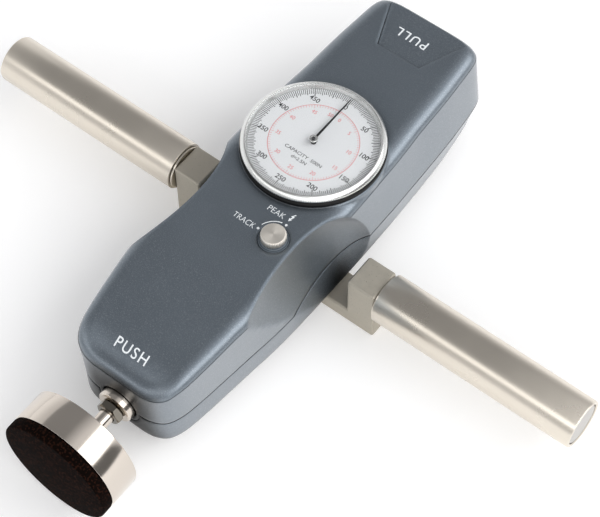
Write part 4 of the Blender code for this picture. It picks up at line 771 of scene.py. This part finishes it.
def make_housing():
    """The fine housing, split along the parting line into cover and case."""
    shell = case_body("shell", fine_plan(), 0, SIDE_LEVELS, ROUND_STEPS)
    foot = TOP_HEIGHT - BOSS_DEPTH
    boss = ((0, foot), (BOSS_RADIUS, foot), (BOSS_RADIUS, BOSS_FACE - BOSS_EDGE),
            (BOSS_RADIUS - BOSS_EDGE, BOSS_FACE), (0, BOSS_FACE))
    join(shell, turned("boss", boss, (0, DIAL_Y, 0), steps=FINE_STEPS))
    cut(shell, scoop(-1, 0, SCOOP_SIDES), scoop(1, 0, SCOOP_SIDES))
    hollow = case_body("hollow", PLAN_SHARES, CASE_WALL, HOLLOW_LEVELS, HOLLOW_ROUND_STEPS)
    within = [scoop(side, CASE_WALL, HOLLOW_SCOOP_SIDES) for side in (-1, 1)]
    for x, y in case_screw_places():
        within.append(cylinder("boss", CASE_BOSS, 0, BEZEL_TOP, (x, y, 0), steps=SMALL_STEPS))
    cut(hollow, *within)
    cut(shell, hollow)
    cover = linked("cover", shell.data.copy())
    width = CASE_HALF_WIDTH + BOSS_RADIUS
    ends = (FRONT_FACE_Y - OVERRUN, REAR_FACE_Y + OVERRUN)
    above = BEZEL_TOP + OVERRUN
    upper_half = block("upper_half", (-width, ends[0], PARTING_HEIGHT + SEAM), (width, ends[1], above))
    join(upper_half, *ports(TONGUE_RADIUS, -CASE_WALL - EMBED, OVERRUN + EMBED))
    combine(cover, [upper_half], "INTERSECT")
    away = block("away", (-width, ends[0], PARTING_HEIGHT - SEAM), (width, ends[1], above))
    join(away, *ports(TONGUE_RADIUS + GAP, -CASE_WALL - OVERRUN, OVERRUN + EMBED))
    cut(shell, away)
    cut(cover, *upper_openings(), *ports(PORT_RADIUS, -CASE_WALL - OVERRUN, OVERRUN))
    cut(shell, *lower_openings(), *ports(PORT_RADIUS, -CASE_WALL - OVERRUN, OVERRUN))
    install(shell, "case_lower", LACQUERED, "gauge", "blue_grey_paint", "lower_case")
    return install(cover, "case_upper", LACQUERED, "gauge", "blue_grey_paint", "upper_cover")


def lettering(text, height, width=None, turn=0.0, centre=(0, 0), thin=0.0, spacing=1.0, level=0.0):
    """A word as a thin raised print, fitted to its height and width and centred on its place."""
    curve = bpy.data.curves.new("lettering", "FONT")
    curve.body = text
    curve.resolution_u = 6
    curve.offset = -thin
    curve.space_character = spacing
    source = linked("lettering", curve)
    graph = bpy.context.evaluated_depsgraph_get()
    mesh = bpy.data.meshes.new_from_object(source.evaluated_get(graph))
    bpy.data.objects.remove(source)
    bm = bmesh.new()
    bm.from_mesh(mesh)
    bmesh.ops.remove_doubles(bm, verts=bm.verts, dist=WORD_WELD)
    lows = [min(vert.co[axis] for vert in bm.verts) for axis in (0, 1)]
    highs = [max(vert.co[axis] for vert in bm.verts) for axis in (0, 1)]
    scale_y = height / (highs[1] - lows[1])
    scale_x = width / (highs[0] - lows[0]) if width else scale_y
    middle = [(low + high) / 2 for low, high in zip(lows, highs)]
    for row in range(1, WORD_ROWS):
        level_y = lows[1] + (highs[1] - lows[1]) * row / WORD_ROWS
        whole = bm.verts[:] + bm.edges[:] + bm.faces[:]
        bmesh.ops.bisect_plane(bm, geom=whole, plane_co=(0, level_y, 0), plane_no=(0, 1, 0))
    grown = bmesh.ops.extrude_face_region(bm, geom=bm.faces[:])
    raised = {item for item in grown["geom"] if isinstance(item, bmesh.types.BMVert)}
    spin = Matrix.Rotation(turn, 2)
    for vert in bm.verts:
        flat = spin @ Vector(((vert.co.x - middle[0]) * scale_x, (vert.co.y - middle[1]) * scale_y))
        vert.co = (flat.x + centre[0], flat.y + centre[1], level + (INK if vert in raised else 0.0))
    bmesh.ops.recalc_face_normals(bm, faces=bm.faces)
    bm.to_mesh(mesh)
    bm.free()
    return mesh


def mark(corners, level):
    """A small printed patch from its corners."""
    bm = bmesh.new()
    low = [bm.verts.new((x, y, level)) for x, y in corners]
    high = [bm.verts.new((x, y, level + INK)) for x, y in corners]
    bm.faces.new(low[::-1])
    bm.faces.new(high)
    count = len(corners)
    for index in range(count):
        after = (index + 1) % count
        bm.faces.new([low[index], low[after], high[after], high[index]])
    bmesh.ops.recalc_face_normals(bm, faces=bm.faces)
    mesh = bpy.data.meshes.new("mark")
    bm.to_mesh(mesh)
    bm.free()
    return mesh


def printed(name, meshes):
    """One piece from many printed marks."""
    bm = bmesh.new()
    for mesh in meshes:
        bm.from_mesh(mesh)
        bpy.data.meshes.remove(mesh)
    whole = bpy.data.meshes.new(name)
    bm.to_mesh(whole)
    bm.free()
    return linked(name, whole)


def round_mark(centre, radii, start, sweep, steps):
    """A printed arc between two radii, as patches laid end to end."""
    inner, outer = radii
    patches = []
    for step in range(steps):
        low = start + sweep * step / steps
        high = start + sweep * (step + 1) / steps
        corners = ((inner, low), (outer, low), (outer, high), (inner, high))
        patches.append([(centre[0] + radius * math.cos(angle), centre[1] + radius * math.sin(angle))
                        for radius, angle in corners])
    return patches


def around_dial(radius, turn):
    """A place on the dial at this radius, clockwise from the pull end by the turn."""
    return (radius * math.sin(turn), DIAL_Y + radius * math.cos(turn))


def division_lines(radius, divisions, lines):
    """The patches of a scale: at each division the first kind of line whose step it falls on."""
    patches = []
    for division in range(divisions):
        turn = math.tau * division / divisions
        length, half = next((length, half) for every, length, half in lines if division % every == 0)
        inner = radius - length
        corners = []
        for reach, side in ((radius, -half), (radius, half), (inner, half), (inner, -half)):
            x, y = around_dial(reach, turn)
            corners.append((x + side * math.cos(turn), y - side * math.sin(turn)))
        patches.append(corners)
    return patches


def make_dial_prints():
    """Black newton scale and captions, and the red inner scale with its ring."""
    level = DIAL_TOP + INK_LIFT
    black = [mark(patch, level) for patch in division_lines(SCALE_RADIUS, SCALE_DIVISIONS, SCALE_LINES)]
    for number in range(NUMBERS):
        place = around_dial(NUMBER_RADIUS, math.tau * number / NUMBERS)
        text = str(number * NUMBER_STEP)
        black.append(lettering(text, NUMBER_HEIGHT, centre=place, thin=NUMBER_THIN, level=level))
    for caption, height, width, place in CAPTIONS:
        black.append(lettering(caption, height, width, centre=place, level=level))
    install(printed("dial_black_print", black), "dial_black_print", BLACK_INK, "dial_ring", "black_plastic")

    red = [mark(patch, level) for patch in round_mark((0, DIAL_Y), RED_RING, 0, math.tau, RED_RING_STEPS)]
    red += [mark(patch, level) for patch in division_lines(RED_RADIUS, RED_DIVISIONS, RED_LINES)]
    turns = [(str(number * RED_NUMBER_STEP), math.tau * number / NUMBERS) for number in range(1, NUMBERS)]
    for text, turn in (*turns, *RED_ENDS):
        place = around_dial(RED_NUMBER_RADIUS, turn)
        red.append(lettering(text, RED_NUMBER_HEIGHT, centre=place, level=level))
    install(printed("dial_red_print", red), "dial_red_print", RED_INK, "dial_ring", "black_plastic")


def make_dial():
    """Knurled bezel, domed crystal, scale plate, gasket, prints and the needle's hub."""
    centre = (0, DIAL_Y, 0)
    steps = BEZEL_TEETH * BEZEL_TOOTH_STEPS
    bezel = turned("bezel", at_mm(BEZEL_SECTION), centre, steps=steps, teeth=BEZEL_TEETH)
    install(bezel, "dial_bezel", CHROME, "dial_ring", "bright_metal", "bezel")
    under = []
    over = []
    for ring in range(CRYSTAL_RINGS + 1):
        share = 1 - ring / CRYSTAL_RINGS
        rise = CRYSTAL_DOME * (1 - share**2)
        under.append((CRYSTAL_RADIUS * share, CRYSTAL_SEAT + rise))
        over.append((CRYSTAL_RADIUS * share, CRYSTAL_SEAT + CRYSTAL_THICK + rise))
    crystal = turned("crystal", under[::-1] + over, centre, steps=FINE_STEPS)
    install(crystal, "dial_crystal", ACRYLIC, "dial_ring", "clear_crystal", "crystal")

    low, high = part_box("dial_face")
    plate = ((PLATE_BORE, low.z), (high.x, low.z), (high.x, high.z), (PLATE_BORE + PLATE_CHAMFER, high.z),
             (PLATE_BORE, high.z - PLATE_CHAMFER))
    install(turned("plate", plate, centre, steps=FINE_STEPS), "scale_plate", DIAL_WHITE, "dial_ring",
            "white_dial", "dial_face")
    # A real seat ring, whose outer lip paints the shadow in the gap under the bezel
    install(turned("gasket", at_mm(GASKET_SECTION), centre, steps=FINE_STEPS), "dial_gasket_and_shadow_ring", ABS, "gauge",
            "black_plastic", "bezel_seat")
    low, high = (corner.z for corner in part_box("pointer_hub"))
    hub = (
        (HUB_BORE, low), (HUB_RADIUS - HUB_EDGE, low), (HUB_RADIUS, low + HUB_LIP),
        (HUB_RADIUS, high - 2 * HUB_LIP), (HUB_RADIUS - HUB_EDGE, high - HUB_LIP / 2), (HUB_CROWN, high),
        (HUB_BORE + HUB_LIP, high), (HUB_BORE, high - HUB_LIP),
    )
    install(turned("hub", hub, centre), "needle_hub", CHROME, "needle", "tool_steel", "pointer_hub")
    make_dial_prints()


def make_knob():
    """Turned knob with a knurled side and its stem, and the ring that it sits in."""
    centre = (*KNOB_PLACE, 0)
    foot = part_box("mode_knob")[0].z
    knob = [(0, foot), (KNOB_STEM, foot)] + at_mm(KNOB_SECTION)
    install(turned("collar", at_mm(COLLAR_SECTION), centre), "knob_seat", GREY_ABS, "gauge", "black_plastic",
            "knob_collar")
    knob = turned("knob", knob, centre, steps=KNOB_TEETH * KNOB_TOOTH_STEPS, teeth=KNOB_TEETH)
    install(knob, "knob", ALUMINIUM, "knob", "satin_aluminium", "mode_knob")


def make_nut(high, bore):
    """Hexagon nut with chamfered corners, its near face at the high distance along the shaft."""
    centre = (0, 0, SHAFT_HEIGHT)
    low = high - NUT_THICK
    corner = NUT_HALF_FLATS / math.cos(math.pi / NUT_SIDES)
    face = NUT_HALF_FLATS * NUT_FACE_SHARE
    section = ((0, low), (face, low), (corner, low + NUT_CHAMFER), (corner, high - NUT_CHAMFER), (face, high),
               (0, high))
    nut = turned("nut", section, centre, "Y")
    prism = cylinder("prism", corner, low - EMBED, high + EMBED, centre, "Y", NUT_SIDES)
    combine(nut, [prism], "INTERSECT")
    cut(nut, cylinder("bore", bore, low - OVERRUN, high + OVERRUN, centre, "Y"))
    install(nut, "hex_nut", DARK_STEEL, "shaft", "polished_stainless", "jam_nut")


def make_shaft():
    """Head with its stud, push pad with its facing, and the nut."""
    centre = (0, 0, SHAFT_HEIGHT)
    y = FRONT_HEAD_Y
    tip = y - STUD_LENGTH
    head = [(0, y + HEAD_LENGTH), (HEAD_RADIUS - HEAD_CHAMFER, y + HEAD_LENGTH),
            (HEAD_RADIUS, y + HEAD_LENGTH - HEAD_CHAMFER)]
    head += rounding(HEAD_ROUND, HEAD_RADIUS, y, 1)
    head += [(STUD_RADIUS, y), (STUD_RADIUS, tip + STUD_CHAMFER), (STUD_RADIUS - STUD_CHAMFER, tip), (0, tip)]
    install(turned("head", head, centre, "Y"), "push_head", STAINLESS, "shaft", "polished_stainless",
            "front_adapter")
    bore = STUD_RADIUS + GAP
    front = -PAD_BACK - PAD_THICK
    pad = [(0, front)] + rounding(PAD_ROUND, PAD_RADIUS, front, 1)
    pad += rounding(PAD_ROUND, PAD_RADIUS, -PAD_BACK, -1)[::-1]
    pad += [(bore, -PAD_BACK), (bore, tip - GAP), (0, tip - GAP)]
    install(turned("pad", pad, centre, "Y", FINE_STEPS), "push_pad", STAINLESS, "shaft", "polished_stainless",
            "pad_disc")
    back = front - GAP
    facing = [(0, back - FACING_THICK)] + rounding(FACING_ROUND, FACING_RADIUS, back - FACING_THICK, 1)
    facing += [(FACING_RADIUS, back - FACING_CHAMFER), (FACING_RADIUS - FACING_CHAMFER, back), (0, back)]
    install(turned("facing", facing, centre, "Y", FINE_STEPS), "cork_facing", CORK_RUBBER, "shaft",
            "cork_rubber", "pad_facing")
    make_nut(y - GAP, bore)


def make_handles():
    """Both tubes with rounded ends, and the flat plugs in them."""
    centre = (0, 0, HANDLE_HEIGHT)
    end = HANDLE_REACH - CAP_RECESS
    plug = ((0, end - CAP_LENGTH), (CAP_RADIUS, end - CAP_LENGTH), (CAP_RADIUS, end - CAP_CHAMFER),
            (CAP_RADIUS - CAP_CHAMFER, end), (0, end))
    for name, side, start in (("left", -1, LEFT_TUBE_START), ("right", 1, RIGHT_TUBE_START)):
        tube = [(TUBE_BORE, start)] + rounding(TUBE_START_ROUND, TUBE_RADIUS, start, 1)
        tube += rounding(TUBE_END_ROUND, TUBE_RADIUS, HANDLE_REACH, -1)
        tube.append((TUBE_BORE, HANDLE_REACH - TUBE_BORE_CHAMFER))
        outward = [[(radius, side * along) for radius, along in section] for section in (tube, plug)]
        install(turned("tube", outward[0], centre, "X"), f"grip_tube_{name}", NICKEL, "gauge", "satin_nickel",
                f"handle_tube_{name}")
        install(turned("plug", outward[1], centre, "X"), f"grip_plug_{name}", POLYAMIDE, "gauge",
                "pale_plastic", f"handle_cap_{name}")


def drop_onto(piece, ground, lift):
    """Lays a flat print on the ground piece by moving each of its corners down onto it."""
    for vert in piece.data.vertices:
        above = Vector((vert.co.x, vert.co.y, 2 * TOP_HEIGHT))
        hit, place = ground.ray_cast(above, Vector((0, 0, -1)))[:2]
        if hit:
            vert.co.z += place.z + lift


def make_words(cover):
    """White words on the cover, and the knob's dots, arc and flash."""
    marks = [lettering(*word) for word in COVER_WORDS]
    patches = []
    for x, y in DOT_PLACES:
        turns = [math.tau * step / DOT_STEPS for step in range(DOT_STEPS)]
        patches.append([(x + DOT_RADIUS * math.cos(turn), y + DOT_RADIUS * math.sin(turn)) for turn in turns])
    patches += round_mark(KNOB_PLACE, ARC_RADII, ARC_START, ARC_SWEEP, ARC_STEPS)
    patches.append([(FLASH_PLACE[0] + x, FLASH_PLACE[1] + y) for x, y in at_mm(FLASH_OUTLINE)])
    words = printed("cover_words", marks + [mark(patch, 0.0) for patch in patches])
    drop_onto(words, cover, WORD_LIFT)
    install(words, "cover_words", WHITE_INK, "gauge", "blue_grey_paint")


def make_studio():
    """Lit white floor, soft boxes to the right and front, a pale wall, a dark flag and a dim room above."""
    floor = bpy.data.meshes.new("floor")
    corners = [(x * FLOOR_HALF, y * FLOOR_HALF, 0) for x, y in ((-1, -1), (1, -1), (1, 1), (-1, 1))]
    floor.from_pydata(corners, [], [(0, 1, 2, 3)])
    floor.materials.append(PAPER)
    linked("floor", floor)
    for name, place, aim, width, height, radiance in LAMPS:
        lamp = bpy.data.lights.new(name, "AREA")
        lamp.shape = "RECTANGLE"
        lamp.size = width
        lamp.size_y = height
        lamp.energy = radiance * math.pi * width * height
        box = linked(name, lamp)
        box.location = place
        box.rotation_euler = (Vector(aim) - Vector(place)).to_track_quat("-Z", "Y").to_euler()
    world = bpy.data.worlds.new("studio")
    bpy.context.scene.world = world
    world.use_nodes = True
    tree = world.node_tree
    background = tree.nodes["Background"]
    place = add(tree, "TexCoord").outputs["Generated"]
    ways = add(tree, "SeparateXYZ", Vector=place)
    share = add(tree, "MapRange", {"interpolation_type": "SMOOTHSTEP"}, Value=ways.outputs["Z"], From_Min=0.0,
                From_Max=0.55, To_Min=0.72, To_Max=0.29)
    flag = add(tree, "MapRange", {"interpolation_type": "SMOOTHSTEP"}, Value=ways.outputs["X"], From_Min=0.74,
               From_Max=0.84, To_Min=1.0, To_Max=0.2)
    glow = add(tree, "MapRange", Value=ways.outputs["X"], From_Min=-0.12, From_Max=0.28, To_Min=0.28,
               To_Max=0.85)
    lit = add(tree, "Math", {"operation": "MAXIMUM"}, i0=share.outputs["Result"], i1=glow.outputs["Result"])
    dimmed = add(tree, "Math", {"operation": "MULTIPLY"}, i0=lit.outputs["Value"], i1=flag.outputs["Result"])
    tree.links.new(dimmed.outputs["Value"], background.inputs["Strength"])
    background.inputs["Color"].default_value = linear("#fbfbfd")
    bpy.context.scene.view_settings.view_transform = "Standard"


def make_camera():
    """The photograph's camera, from its direction, roll and place."""
    flat = math.cos(CAMERA_ELEVATION)
    ahead = Vector((math.sin(CAMERA_AZIMUTH) * flat, math.cos(CAMERA_AZIMUTH) * flat,
                    -math.sin(CAMERA_ELEVATION)))
    level = Vector((math.cos(CAMERA_AZIMUTH), -math.sin(CAMERA_AZIMUTH), 0))
    upward = level.cross(ahead)
    right = level * math.cos(CAMERA_ROLL) + upward * math.sin(CAMERA_ROLL)
    up = upward * math.cos(CAMERA_ROLL) - level * math.sin(CAMERA_ROLL)
    turn = Matrix((right, up, -ahead)).transposed().to_4x4()
    turn.translation = Vector(CAMERA_PLACE)
    camera = linked("camera", bpy.data.cameras.new("camera"))
    camera.matrix_world = turn
    camera.data.lens = CAMERA_LENS
    camera.data.sensor_width = CAMERA_SENSOR
    camera.data.clip_start = CAMERA_NEAR
    bpy.context.scene.camera = camera


def dress_nodes():
    """Finishes for the CAD pieces that keep their own shape."""
    zinc = ["chassis", "handle_insert_left", "handle_insert_right", "handle_screw_left", "handle_screw_right",
            "bracket_screw_left", "bracket_screw_right", "chassis_screw_front", "chassis_screw_rear"]
    zinc += [f"{place}_screw_{number}" for place in ("case", "plate") for number in range(1, 5)]
    finishes = {
        BLASTED: ("bracket",),
        NICKEL: ("handle_spacer_left", "handle_spacer_right"),
        LACQUER: ("pointer",),
        STAINLESS: ("rear_adapter",),
        TOOL_STEEL: ("measuring_shaft", "rack", "pointer_arbor", "hold_lever", "lever_pivot",
                     "knob_crank", "spring_front", "spring_rear"),
        BRASS: ("guide_bush_front", "guide_bush_rear", "idler_gear", "movement_plate"),
        ZINC: zinc,
    }
    for material, names in finishes.items():
        for name in names:
            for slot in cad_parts[name].material_slots:
                slot.material = material


make_camera()
make_studio()
case_cover = make_housing()
make_words(case_cover)
make_dial()
make_knob()
make_shaft()
make_handles()
dress_nodes()
